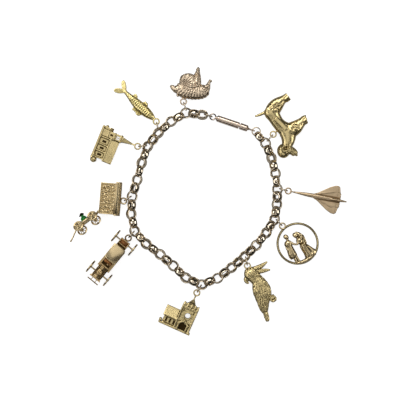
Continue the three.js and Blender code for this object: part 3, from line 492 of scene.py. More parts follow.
def enamel(name, base, dark, rough, coat):
    """Hard fired enamel: an uneven glassy colour over metal, with the odd pinhole."""
    paint = Paint(name)
    cloud = paint.noise(1.2, 2.0)
    pits = paint.noise(0.35, 1.0)
    tone = paint.mixed(cloud.ramp(0.35, 0.65), dark, base)
    paint.bump(cloud + pits.ramp(0.2, 0.35) * 0.5, 0.03)
    return paint.set(Base_Color=tone, Metallic=0.0, Roughness=cloud * 0.1 + rough, Coat_Weight=coat,
                     Coat_Roughness=0.05)


# Golds: a setting and its share in red, green and blue, or None and a colour; the tone of the hollows, which
# is partly patina and partly painted shade; the roughness; the size and depth of the wear marks in
# millimetres;
# and what else gold() takes.
GOLDS = {
    "chain_gold": ("rose_gold", (1, 1, 1), (0.05, 0.036, 0.025), 0.11, 0.6, 0.001, {"sunk": (0.5, 0.75)}),
    "clasp_gold": ("rose_gold", (1.06, 1, 1.06), (0.16, 0.12, 0.09), 0.19, 1.5, 0.0,
                   {"sunk": None, "spread": 0.02}),
    "olive_gold": ("olive_gold", (1, 1, 1), (0.13, 0.09, 0.03), 0.27, 0.3, 0.0015, {}),
    "fish_gold": ("olive_gold", (1.15, 1.18, 1.05), (0.42, 0.34, 0.10), 0.24, 0.3, 0.0015, {}),
    "lion_gold": ("silvery_gold", (1, 1, 1), (0.30, 0.22, 0.15), 0.27, 0.3, 0.0015, {}),
    "jet_gold": ("brushed_gold", (1, 1, 1), (0.22, 0.14, 0.07), 0.34, 0.3, 0.001, {}),
    "pale_gold": ("pale_gold", (1, 1, 1), (0.16, 0.11, 0.05), 0.26, 0.3, 0.0015, {}),
    "warm_gold": ("pale_gold", (0.88, 0.88, 0.88), (0.05, 0.032, 0.012), 0.24, 0.3, 0.001, {}),
    "ring_gold": (None, (0.44, 0.36, 0.19), (0.10, 0.07, 0.02), 0.24, 0.4, 0.001, {"sunk": None}),
    "car_gold": (None, (0.50, 0.36, 0.18), (0.05, 0.03, 0.01), 0.26, 0.3, 0.001, {}),
    "dark_gold": (None, (0.30, 0.13, 0.045), (0.06, 0.02, 0.008), 0.34, 0.25, 0.01, {}),
    # The ground behind the caravan's scrolls: a darker tone that is partly patina and partly painted shade.
    "ground_gold": (None, (0.50, 0.37, 0.18), (0.16, 0.11, 0.05), 0.4, 0.3, 0.01, {}),
    # Painted shade: a near-black gold for the plates put where recesses and gaps are in shade.
    "shadow_gold": (None, (0.07, 0.042, 0.014), (0.02, 0.012, 0.005), 0.5, 0.3, 0.01, {}),
}
# Enamels: the colour, its dark patches, roughness and the share of clear coat.
ENAMELS = {
    "green_enamel": ((0.0, 0.27, 0.02), (0.0, 0.14, 0.012), 0.4, 0.05),
    "dark_enamel": ((0.05, 0.035, 0.02), (0.015, 0.010, 0.006), 0.3, 0.3),
}


def finish(name):
    """The material of that name, made the first time it is asked for."""
    full = name + "_finish"
    if full in bpy.data.materials:
        return bpy.data.materials[full]
    if name in ENAMELS:
        return enamel(full, *ENAMELS[name])
    setting, tone, *rest, more = GOLDS[name]
    if setting:
        chosen = getattr(bpy.context.scene.bracelet_finish, setting)
        tone = tuple(c * share for c, share in zip(chosen, tone))
    return gold(full, tone, *rest, **more)


# Chain

def flat_centres():
    """Centres of the flat links, evenly spaced between the counted points of the route."""
    stops = [np.array(r[:2]) for r in ROUTE]
    stops = [2 * stops[0] - stops[1], *stops, 2 * stops[-1] - stops[-2]]
    points = []
    for i in range(len(ROUTE) - 1):
        a, b, c, d = stops[i:i + 4]
        for k in range(ROUTE_STEPS):
            t = k / ROUTE_STEPS
            p, q = 0.5 * (c - a), 0.5 * (d - b)
            points.append(b + t * p + t * t * (3 * (c - b) - 2 * p - q) + t ** 3 * (2 * (b - c) + p + q))
    points.append(stops[-2])
    length = np.concatenate([[0], np.cumsum([np.linalg.norm(b - a) for a, b in zip(points, points[1:])])])
    points = np.array(points)
    centres, start = [points[0]], 0
    for s, (_, _, pairs) in enumerate(ROUTE):
        if not pairs:
            continue
        end = s * ROUTE_STEPS
        for k in range(1, pairs + 1):
            want = length[start] + (length[end] - length[start]) * k / pairs
            centres.append(np.array([np.interp(want, length, points[:, 0]),
                                     np.interp(want, length, points[:, 1])]))
        start = end
    return [Vector((x, y, 0)) + SHIFT for x, y in centres]


def rest_height(pitch):
    """Height at which a flat link rests on the standing link beside it."""
    inner = LINK["r"] - LINK["wall"]
    reach = min(abs(pitch - inner - LINK["wall"] / 2), inner)
    rise = LINK["across"] * math.sqrt(inner ** 2 - reach ** 2)
    return min(STAND_LEVEL, STAND_LEVEL - rise + LINK["band"] / 2 - LINK["contact"])


def link_places():
    """A frame for each flat link and for each link on edge: its hole is along Z."""
    flats = flat_centres()
    on_edge, lying = [], []
    draw = np.random.default_rng(LINK["seed"])

    def leaning():
        angle = draw.uniform(*LINK["lean"]) * (1 if draw.random() < 0.5 else -1)
        return Matrix.Rotation(math.radians(angle), 4, "X")

    for a, b in zip(flats, flats[1:]):
        way = (b - a).normalized()
        side = Vector((way.y, -way.x, 0)).cross(way)
        middle = (a + b) / 2
        middle.z = STAND_LEVEL
        on_edge.append(Matrix.Translation(middle)
                       @ Matrix((way, side, (way.y, -way.x, 0))).transposed().to_4x4()
                       @ leaning())
    for i in range(1, len(flats)):
        before = rest_height((flats[i] - flats[i - 1]).length / 2)
        after = rest_height((flats[i + 1] - flats[i]).length / 2) if i + 1 < len(flats) else before
        way = (flats[min(i + 1, len(flats) - 1)] - flats[i - 1]).normalized()
        way.z = (after - before) / (2 * (LINK["r"] - LINK["wall"] / 2))
        way.normalize()
        side = UP.cross(way).normalized()
        middle = flats[i].copy()
        middle.z = (before + after) / 2
        lying.append(Matrix.Translation(middle) @ Matrix((way, side, way.cross(side))).transposed().to_4x4()
                     @ leaning())
    return on_edge, lying


def band_link():
    """One belcher link: a hoop of half-round band, flat inside, with its edges eased."""
    look = bpy.context.scene.bracelet_chain
    half, inner, wall = LINK["band"] / 2, LINK["r"] - LINK["wall"], LINK["wall"]
    work = Work()
    outside = [(inner + wall * (0.42 + 0.58 * math.cos(a) ** look.roundness), half * math.sin(a))
               for a in np.linspace(-math.pi / 2, math.pi / 2, look.band_steps)]
    inside = [(inner + wall * 0.14, half * 0.93), (inner + wall * 0.02, half * 0.72), (inner, 0.0),
              (inner + wall * 0.02, -half * 0.72), (inner + wall * 0.14, -half * 0.93)]
    verts = [work.bm.verts.new((r, 0, z)) for r, z in outside + inside]
    edges = [work.bm.edges.new((v, verts[(i + 1) % len(verts)])) for i, v in enumerate(verts)]
    bmesh.ops.spin(work.bm, geom=verts + edges, cent=(0, 0, 0), axis=UP, angle=2 * math.pi,
                   steps=look.link_steps, use_merge=True)
    bmesh.ops.scale(work.bm, vec=(1, LINK["across"], 1), verts=work.bm.verts)
    return work.mesh("link")


def links_mesh(link, places, name):
    bm = bmesh.new()
    for place in places:
        start = len(bm.verts)
        bm.from_mesh(link)
        bm.verts.ensure_lookup_table()
        bmesh.ops.transform(bm, matrix=place, verts=bm.verts[start:])
    made = bpy.data.meshes.new(name)
    bm.to_mesh(made)
    bm.free()
    return made


def without_pockets(mesh):
    """Removes the closed pockets that a union leaves inside the metal: every skin but the biggest."""
    bm = bmesh.new()
    bm.from_mesh(mesh)
    left, skins = set(bm.verts), []
    while left:
        skin, edge = set(), {left.pop()}
        while edge:
            skin |= edge
            edge = {e.other_vert(v) for v in edge for e in v.link_edges} - skin
        left -= skin
        skins.append(skin)
    biggest = max(skins, key=len)
    bmesh.ops.delete(bm, geom=[v for skin in skins if skin is not biggest for v in skin], context="VERTS")
    bm.to_mesh(mesh)
    bm.free()
    return mesh


def build_chain():
    on_edge, lying = link_places()
    link = band_link()
    standing = links_mesh(link, on_edge, "links_on_edge")
    chain = combined(links_mesh(link, lying, "links_lying"), "belcher_chain_gold", standing, "UNION")
    chain = without_pockets(chain)
    reach = points_of(chain)
    if reach[:, 0].min() > min(place.translation.x for place in lying) or len(reach) < LINK["fewest"]:
        raise ValueError("some links of the chain were lost in the union")
    placed(chain, "belcher_chain_gold", Matrix(), finish("chain_gold"), "rose_gold_chain", "belcher_chain",
           edge=50)


def build_rings():
    work = Work()
    standing = [((x, y, level), toward) for _, _, level, _, x, y, toward in CHARMS.values()]
    for at, toward in [*standing, (CLASP["last_ring"], CLASP["toward"])]:
        a = math.radians(toward)
        work.ring(at, JUMP["r"], JUMP["wire"], (-math.sin(a), math.cos(a), 0))
    work.ring(CLASP["first_ring"], JUMP["r"], JUMP["wire"])
    placed(work.mesh("jump_rings"), "jump_rings_gold", Matrix(), finish("chain_gold"), "rose_gold_chain",
           *[f"jump_ring_{n}" for n in CHARMS], "jump_ring_clasp_sleeve", "jump_ring_clasp_plug")


def build_clasp():
    a, b = Vector(CLASP["from"]), Vector(CLASP["to"])
    span, r = (b - a).length, CLASP["r"]
    seam = span - 1.1 - 3.6
    side = (b - a).normalized().cross(UP)
    sleeve, plug = Work(), Work()
    sleeve.turned([(0, 1.0), (0.42, 1.0), (0.5, 1.2), (0.55, 1.45), (0.95, 1.55), (1.18, 1.8), (r, 2.1),
                   (r, 2.35), (r - 0.07, 2.42), (r - 0.07, 2.5), (r, 2.57), (r, seam - 0.75),
                   (r - 0.06, seam - 0.68), (r - 0.06, seam - 0.6), (r, seam - 0.53), (r, seam - 0.32),
                   (r - 0.06, seam - 0.3), (0.8, seam - 0.3), (0.8, seam - 2.9), (0, seam - 2.9)], a, b, 48)
    sleeve.ring(a, LOOP["r"], LOOP["wire"] * 0.9, UP)
    plug.turned([(0, seam - 2.6), (0.5, seam - 2.6), (0.55, seam - 2.5), (0.55, seam), (r - 0.06, seam),
                 (r, seam + 0.05), (r, span - 2.35), (r - 0.07, span - 2.28), (r - 0.07, span - 2.2),
                 (r, span - 2.13), (r, span - 2.0), (1.18, span - 1.75), (0.95, span - 1.55),
                 (0.55, span - 1.45), (0.5, span - 1.2), (0.42, span - 1.0), (0, span - 1.0)], a, b, 48)
    plug.ring(b, LOOP["r"], LOOP["wire"] * 0.9, side)
    for work, name in ((sleeve, "clasp_sleeve"), (plug, "clasp_plug")):
        placed(work.mesh(name), name + "_gold", Matrix(), finish("clasp_gold"), "rose_gold_clasp", name,
               sunk=False, edge=25)


# Charms

FISH_BODY = [  # x, y, half width, half depth
    (0.9, -0.1, 0.35, 0.4), (1.6, -0.1, 0.85, 0.75), (3.0, -0.1, 1.4, 1.1), (5.0, 0.0, 1.85, 1.35),
    (7.5, 0.1, 2.02, 1.42), (9.8, 0.1, 1.88, 1.32), (12.2, 0.0, 1.45, 1.1), (14.2, -0.1, 1.0, 0.85),
    (16.2, -0.2, 0.68, 0.6), (17.3, -0.3, 0.6, 0.4),
]
FISH_FINS = [
    [(16.2, -0.8), (17.4, -2.0), (18.8, -3.0), (19.9, -3.1), (20.0, -2.0), (19.0, -0.9), (17.9, -0.3),
     (19.3, 0.6), (20.1, 1.7), (19.8, 2.6), (18.9, 2.6), (17.4, 1.7), (16.2, 0.3)],
    [(6.0, -1.6), (6.9, -2.8), (8.2, -2.9), (8.9, -1.5)],
    [(10.8, -1.2), (11.9, -2.35), (13.0, -2.4), (13.5, -0.9)],
    [(5.6, 1.5), (6.4, 3.1), (7.4, 3.35), (8.2, 2.85), (9.7, 3.0), (10.2, 2.4), (9.6, 1.5)],
]
FISH_RIBS = {"from": 3.7, "to": 12.9, "count": 11, "rise": 0.17}


def fish():
    name, mid = "fish", 1.45
    work = Work()
    work.run([(x, y, mid, w, d) for x, y, w, d in FISH_BODY], 4, 24)
    for fin in FISH_FINS:
        work.plate(fin, mid - 0.25, mid + 0.3, 0.1)
    for side in (-1, 1):
        work.ball((2.75, -0.15, mid + side * 0.78), (0.34, 0.34, 0.3))
        work.ring((2.75, -0.15, mid + side * 1.0), 0.4, 0.16)
    work.lug(level_of(name), (2.0, -0.1, mid))
    made = skinned(work, name, 0.11, 6)

    def relief(p, n):
        x, y = p.T[:2]
        along = (x - FISH_RIBS["from"]) / (FISH_RIBS["to"] - FISH_RIBS["from"]) * FISH_RIBS["count"]
        bow = 0.35 * (y / 1.8) ** 2
        rib = np.abs(np.sin(math.pi * (along + bow))) ** 0.8
        inside = hump(x, FISH_RIBS["from"], FISH_RIBS["to"], 0.4) * hump(y, -1.75, 0.95, 0.25)
        gill = np.exp(-((x - 3.4 - 0.3 * np.cos(y * 1.2)) / 0.12) ** 2) * hump(y, -1.1, 1.0, 0.2)
        fin = np.maximum(step(np.abs(y) - 1.75 + 0.0 * x, 0, 0.2), step(x, 16.6, 17.4))
        rays = np.sin((y * 1.0 + (x - 17) * 0.45 * np.sign(y + 0.3)) * 12) * 0.05
        scale = np.sin(x * 7 + 2.2 * np.sin(y * 5)) * 0.03 * hump(x, 12.6, 16.4, 0.3)
        return inside * (rib - 0.6) * FISH_RIBS["rise"] - gill * 0.12 + fin * rays + scale

    carved(made, relief)
    placed(made, "fish_casting", charm_place(name), finish("fish_gold"), "olive_gold", name)


JET_BODY = [
    (0.6, 0.0, 0.95, 0.1, 0.1), (1.6, 0.0, 0.98, 0.26, 0.24), (3.0, 0.0, 1.02, 0.38, 0.36),
    (5.5, 0.0, 1.1, 0.62, 0.56), (9.0, 0.0, 1.2, 0.84, 0.7), (15.5, 0.0, 1.2, 0.84, 0.7),
    (18.5, 0.0, 1.2, 0.62, 0.58), (20.6, 0.0, 1.2, 0.46, 0.44), (22.6, 0.0, 1.22, 0.26, 0.24),
]
JET_WING = [(8.6, 0.3), (9.6, 0.8), (11.4, 1.6), (13.4, 3.0), (15.4, 4.4), (17.4, 5.35), (18.6, 5.5),
            (19.3, 5.0), (19.5, 4.2), (20.0, 2.2), (20.2, 0.3)]


def jet():
    name = "jet"
    work = Work()
    work.run(JET_BODY, 4, 24)
    for side in (-1, 1):
        work.plate([(x, y * side) for x, y in JET_WING], 0.42, 0.8, 0.12)
        for y in (1.45, 2.35):
            work.box((15.6, side * y - 0.34, 0.02), (20.2, side * y + 0.34, 0.62), 0.12)
    fin = Matrix.Rotation(math.pi / 2, 4, "X")
    work.plate([(15.6, 1.4), (18.6, 2.9), (20.2, 3.05), (20.6, 1.4)], -0.2, 0.2, 0.08, turn=fin)
    work.lug(level_of(name), (2.4, 0, 1.2), 0.24)
    made = skinned(work, name, 0.1, 8)

    def relief(p, n):
        x, y = p.T[:2]
        flap = np.exp(-((x - 18.9) / 0.09) ** 2) * hump(np.abs(y), 0.9, 4.9, 0.1)
        lines = np.exp(-((np.abs(y) - 2.9) / 0.09) ** 2) * hump(x, 17.6, 19.8, 0.1)
        root = np.exp(-((np.abs(y) - 0.85) / 0.16) ** 2) * hump(x, 9.5, 20, 0.3)
        top = step(n[:, 2], 0.3, 0.7)
        rim = np.exp(-((np.abs(y) - 0.31 * (x - 8.0)) / 0.25) ** 2) * hump(x, 11.0, 17.5, 0.3)
        return (rim * 0.06 - (flap + lines) * 0.06 - root * 0.12) * top

    carved(made, relief)
    placed(made, "jet_casting", charm_place(name), finish("jet_gold"), "brushed_rose_gold", name)


COUPLE = {"outer": 8.05, "wall": 0.9, "high": 1.7, "tilt": 167, "length": 14.0, "thick": 3.0}
GROOM = [
    [(-0.48, 0.185, 0.036, 0.17), (-0.36, 0.195, 0.036, 0.18), (-0.24, 0.205, 0.044, 0.24),
     (-0.15, 0.22, 0.05, 0.26)],
    [(-0.48, 0.26, 0.036, 0.17), (-0.36, 0.26, 0.036, 0.18), (-0.24, 0.255, 0.044, 0.24),
     (-0.15, 0.24, 0.05, 0.26)],
    [(-0.3, 0.26, 0.1, 0.22), (-0.22, 0.265, 0.12, 0.4), (-0.08, 0.255, 0.105, 0.42),
     (0.02, 0.245, 0.095, 0.4),
     (0.11, 0.23, 0.115, 0.44), (0.175, 0.21, 0.085, 0.36), (0.21, 0.2, 0.036, 0.22),
     (0.24, 0.195, 0.034, 0.2)],
]
BRIDE = [
    [(-0.45, -0.18, 0.2, 0.44), (-0.4, -0.175, 0.19, 0.46), (-0.3, -0.15, 0.15, 0.44),
     (-0.18, -0.12, 0.115, 0.4), (-0.08, -0.1, 0.085, 0.36), (-0.04, -0.09, 0.075, 0.32),
     (0.0, -0.085, 0.085, 0.38), (0.05, -0.08, 0.1, 0.42), (0.1, -0.07, 0.08, 0.36),
     (0.14, -0.06, 0.036, 0.22), (0.17, -0.055, 0.034, 0.2)],
    [(0.3, -0.08, 0.03, 0.26), (0.22, -0.135, 0.06, 0.36), (0.12, -0.17, 0.075, 0.36),
     (0.0, -0.19, 0.055, 0.28), (-0.1, -0.2, 0.025, 0.16)],
]


def couple():
    name = "wedding_couple"
    size = (COUPLE["length"], COUPLE["thick"])
    length, thick = size
    at = COUPLE["outer"] + LOOP["r"] - LOOP["wire"] / 2
    mean = COUPLE["outer"] - COUPLE["wall"] / 2
    work = Work()
    work.limbs(size, GROOM + BRIDE, 3, 14)
    for along, aside, tall in ((0.295, 0.19, 0.074), (0.225, -0.05, 0.078)):
        here = (along * length, aside * length, 0.52 * thick)
        work.ball(here, (tall * length, tall * length * 0.82, tall * length * 0.9))
        work.ball((here[0] + 0.02 * length, here[1] + 0.012 * length, here[2] - 0.1), (0.95, 0.9, 0.95))
        work.ball((here[0] - 0.01 * length, here[1] - 0.045 * length * (1 if aside > 0 else -1),
                   here[2] + 0.1),
                  (0.14, 0.2, 0.14))
    for rows in ([(0.13, 0.16, 0.034, 0.18, 0.72), (0.05, 0.11, 0.03, 0.15, 0.8),
                  (0.0, 0.045, 0.026, 0.13, 0.8)],
                 [(0.06, -0.03, 0.034, 0.18, 0.72), (0.0, 0.0, 0.03, 0.15, 0.8),
                  (0.0, 0.045, 0.024, 0.13, 0.8)],
                 [(0.13, 0.28, 0.036, 0.2, 0.55), (0.02, 0.32, 0.033, 0.17, 0.6),
                  (-0.1, 0.31, 0.026, 0.14, 0.6)],
                 [(0.06, -0.13, 0.034, 0.18, 0.6), (-0.03, -0.17, 0.03, 0.16, 0.66),
                  (-0.09, -0.13, 0.022, 0.12, 0.8)]):
        work.limbs(size, [rows], 4, 12)
    work.ball((0.01, 0.3, 0.8 * thick), (0.38, 0.42, 0.36))
    for i in range(5):
        work.ball((-0.09 * length + 0.22 * math.cos(i * 1.25), -0.12 * length + 0.22 * math.sin(i * 1.25),
                   0.86 * thick), (0.2, 0.2, 0.2))
    work.limbs(size, [[(-0.455, 0.25, 0.04, 0.3), (-0.495, 0.1, 0.05, 0.36), (-0.49, -0.12, 0.055, 0.38),
                       (-0.455, -0.3, 0.04, 0.3)]], 4, 14)
    bmesh.ops.transform(work.bm, matrix=Matrix.Rotation(math.radians(COUPLE["tilt"]), 4, "Z"),
                        verts=work.bm.verts)
    hoop = Work()
    hoop.ring((at, 0, COUPLE["high"] / 2), mean, COUPLE["wall"], flat=COUPLE["high"] / COUPLE["wall"],
              steps=96)
    placed(hoop.mesh("hoop"), "wedding_couple_ring", charm_place(name), finish("ring_gold"), "pale_gold",
           sunk=False)
    bmesh.ops.translate(work.bm, vec=(at, 0, 0), verts=work.bm.verts)
    work.lug(level_of(name), (at - mean, 0, COUPLE["high"] * 0.6), 0.4)
    made = skinned(work, name, 0.105, 3)

    def relief(p, n):
        x, y = p.T[:2]
        a = math.radians(-COUPLE["tilt"])
        along = ((x - at) * math.cos(a) - y * math.sin(a)) / length
        aside = ((x - at) * math.sin(a) + y * math.cos(a)) / length
        near = 1 - step(np.hypot(x - at, y), mean - 1.0, mean - 0.6)
        skirt = near * hump(along, -0.46, -0.09, 0.03) * hump(aside, -0.36, 0.02, 0.02)
        fan = np.arctan2(aside + 0.1, -along + 0.25)
        folds = np.sin(fan * 34) * 0.1
        coat = near * hump(along, -0.26, 0.12, 0.02) * hump(aside, 0.12, 0.36, 0.01)
        lapel = -np.exp(-((aside - 0.235 + 0.12 * (along - 0.05)) / 0.01) ** 2) * 0.22
        veil = near * hump(along, -0.1, 0.2, 0.02) * hump(aside, -0.3, -0.13, 0.01)
        strands = np.sin((aside + 0.1 * along) * 130) * 0.1
        waist = near * np.exp(-((along + 0.05) / 0.02) ** 2) * hump(aside, -0.2, 0.0, 0.02)
        ground = near * (1 - step(along, -0.48, -0.44)) * waves(p, 0.7, 5) * 0.06
        return skirt * folds + coat * lapel + veil * strands + ground - waist * 0.18

    carved(made, relief)
    placed(made, "wedding_couple_casting", charm_place(name), finish("warm_gold"), "pale_gold", name)


BIRD = {"size": (22.6, 3.6)}
BIRD_LIMBS = [
    [(0.035, 0.045, 0.05, 0.2), (0.08, 0.035, 0.1, 0.36), (0.13, 0.03, 0.122, 0.44),
     (0.19, 0.035, 0.122, 0.45),
     (0.25, 0.055, 0.105, 0.42), (0.3, 0.075, 0.112, 0.43), (0.37, 0.085, 0.14, 0.47),
     (0.46, 0.085, 0.158, 0.49),
     (0.54, 0.078, 0.15, 0.49), (0.62, 0.055, 0.122, 0.43), (0.72, 0.03, 0.09, 0.34),
     (0.82, 0.012, 0.06, 0.24)],
    [(0.7, 0.03, 0.06, 0.2, 0.42), (0.85, 0.014, 0.045, 0.17, 0.4), (0.96, 0.006, 0.04, 0.14, 0.36),
     (1.0, 0.004, 0.02, 0.08, 0.34)],
    [(0.34, 0.05, 0.05, 0.2, 0.72), (0.42, 0.04, 0.095, 0.3, 0.68), (0.52, 0.03, 0.1, 0.3, 0.66),
     (0.64, 0.008, 0.075, 0.26, 0.6), (0.76, -0.015, 0.045, 0.2, 0.5), (0.84, -0.022, 0.015, 0.1, 0.45)],
    [(0.17, -0.05, 0.055, 0.26), (0.215, -0.1, 0.045, 0.22), (0.26, -0.1, 0.03, 0.15),
     (0.285, -0.075, 0.012, 0.08)],
    [(0.09, 0.09, 0.045, 0.24), (0.09, 0.17, 0.044, 0.2), (0.075, 0.25, 0.034, 0.15),
     (0.05, 0.335, 0.014, 0.09)],
    [(0.15, 0.11, 0.042, 0.22), (0.165, 0.19, 0.038, 0.18), (0.18, 0.27, 0.03, 0.13),
     (0.195, 0.34, 0.012, 0.08)],
    [(0.56, 0.13, 0.05, 0.26), (0.62, 0.17, 0.05, 0.28), (0.66, 0.19, 0.045, 0.28)],
]


def cockatoo():
    name = "cockatoo"
    length, thick = BIRD["size"]
    work = Work()
    work.limbs(BIRD["size"], BIRD_LIMBS, 4, 18)
    work.ball((0.15 * length, 0.01 * length, thick / 2), (2.75, 2.75, 1.72))
    work.ring((0.665 * length, 0.215 * length, thick / 2 + 0.5), 0.95, 0.85)
    work.ball((0.665 * length, 0.215 * length, thick / 2 + 0.5), (0.4, 0.4, 0.6))
    for side in (-1, 1):
        z = thick / 2 + side * 1.38
        work.ball((0.165 * length, -0.025 * length, z), (0.3, 0.3, 0.22))
        work.ring((0.165 * length, -0.025 * length, z + side * 0.04), 0.42, 0.16)
        for k in range(3):
            work.run([(0.6 * length + k * 0.5, 0.175 * length, thick / 2 + side * 0.4, 0.2, 0.2),
                      (0.6 * length + k * 0.5 + 0.1, 0.215 * length, thick / 2 + side * 1.0, 0.22, 0.22),
                      (0.6 * length + k * 0.5 + 0.1, 0.255 * length, thick / 2 + side * 0.5, 0.14, 0.14)], 3,
                      10)
    work.lug(level_of(name), (3.0, 0.5, thick / 2))
    made = skinned(work, name, 0.11, 5)

    def relief(p, n):
        x, y = p.T[:2]
        along, aside = x / length, y / length
        head = 1 - step(along, 0.26, 0.32)
        crest = step(aside, 0.13, 0.17) * (1 - step(along, 0.3, 0.36))
        wing = step(along, 0.36, 0.42)

        def feathers(px, py, long, wide, rise):
            row = np.floor(px / long)
            across = py / wide + 0.5 * (row % 2)
            u = np.modf(px / long - row)[0]
            v = across - np.floor(across) - 0.5
            tip = np.clip(1 - (v * 2) ** 2, 0, 1) ** 0.5
            edge = np.clip((tip * 0.9 + 0.1 - u) * 6, 0, 1)
            spine = np.exp(-(v / 0.07) ** 2) * 0.35
            barbs = 0.16 * np.sin((v * np.sign(v) * 1.2 + u) * 24)
            return rise * (edge * (0.35 + 0.65 * u) + spine * edge + barbs * edge - 0.6)

        bend = y - 0.03 * length
        small = feathers(x, bend + 0.2 * np.sin(x), 1.0, 0.95, 0.15)
        tail_way = y + (x - 0.45 * length) * 0.12
        large = feathers(x * 0.98, tail_way, 2.3, 0.95, 0.2)
        ridges = np.sin((y - (x - 2) * 0.1) * 10) * 0.06
        streaks = np.sin((tail_way + 0.12 * np.sin(x * 1.7)) * 8.5) * 0.06
        body = small * (1 - wing) * 0.8 + (large * 0.6 + streaks) * wing
        eye = np.exp(-(((x - 0.165 * length) ** 2 + (y + 0.025 * length) ** 2) / 0.5))
        beak = hump(along, 0.16, 0.3, 0.015) * (1 - step(aside, -0.075, -0.055))
        perch = step(aside, 0.165, 0.18) * step(along, 0.5, 0.54)
        plain = np.clip(eye + beak + perch + crest, 0, 1)
        return (body * (1 - plain) + crest * ridges) * (0.8 + 0.2 * head) + perch * waves(p, 0.5, 8) * 0.05

    carved(made, relief)
    placed(made, "cockatoo_casting", charm_place(name), finish("olive_gold"), "olive_gold", name)


def spire(work, rows, mid):
    """A four-sided spire: rows of x, centre y and half width."""
    work.lofted([Matrix.Translation((x, y, mid)) @ faced((1, 0, 0)) @ Matrix.Rotation(math.pi / 4, 4, "Z")
                 @ Matrix.Scale(half * math.sqrt(2), 4) for x, y, half in rows], 4)


def roof(work, outline, y0, y1):
    """A roof or gable with an outline in X and Z, from y0 to y1."""
    turn = Matrix.Translation((0, y1, 0)) @ Matrix.Rotation(math.pi / 2, 4, "X")
    work.plate(outline, 0, y1 - y0, 0.06, turn=turn)


def masonry(p, course, rise):
    """Courses of small stones over a wall."""
    x, y, z = p.T
    row = np.floor(x / course)
    u = np.modf(x / course - row)[0]
    v = (y + z * 0.7) / (course * 1.9) + 0.5 * (row % 2)
    v = v - np.floor(v)
    return -rise * np.maximum(np.exp(-(np.minimum(u, 1 - u) / 0.1) ** 2),
                              np.exp(-(np.minimum(v, 1 - v) / 0.06) ** 2))


# A church: its height along X, its thickness, and where it starts beyond the loop.
SHORT = {"high": 14.6, "thick": 4.0, "start": 1.0}


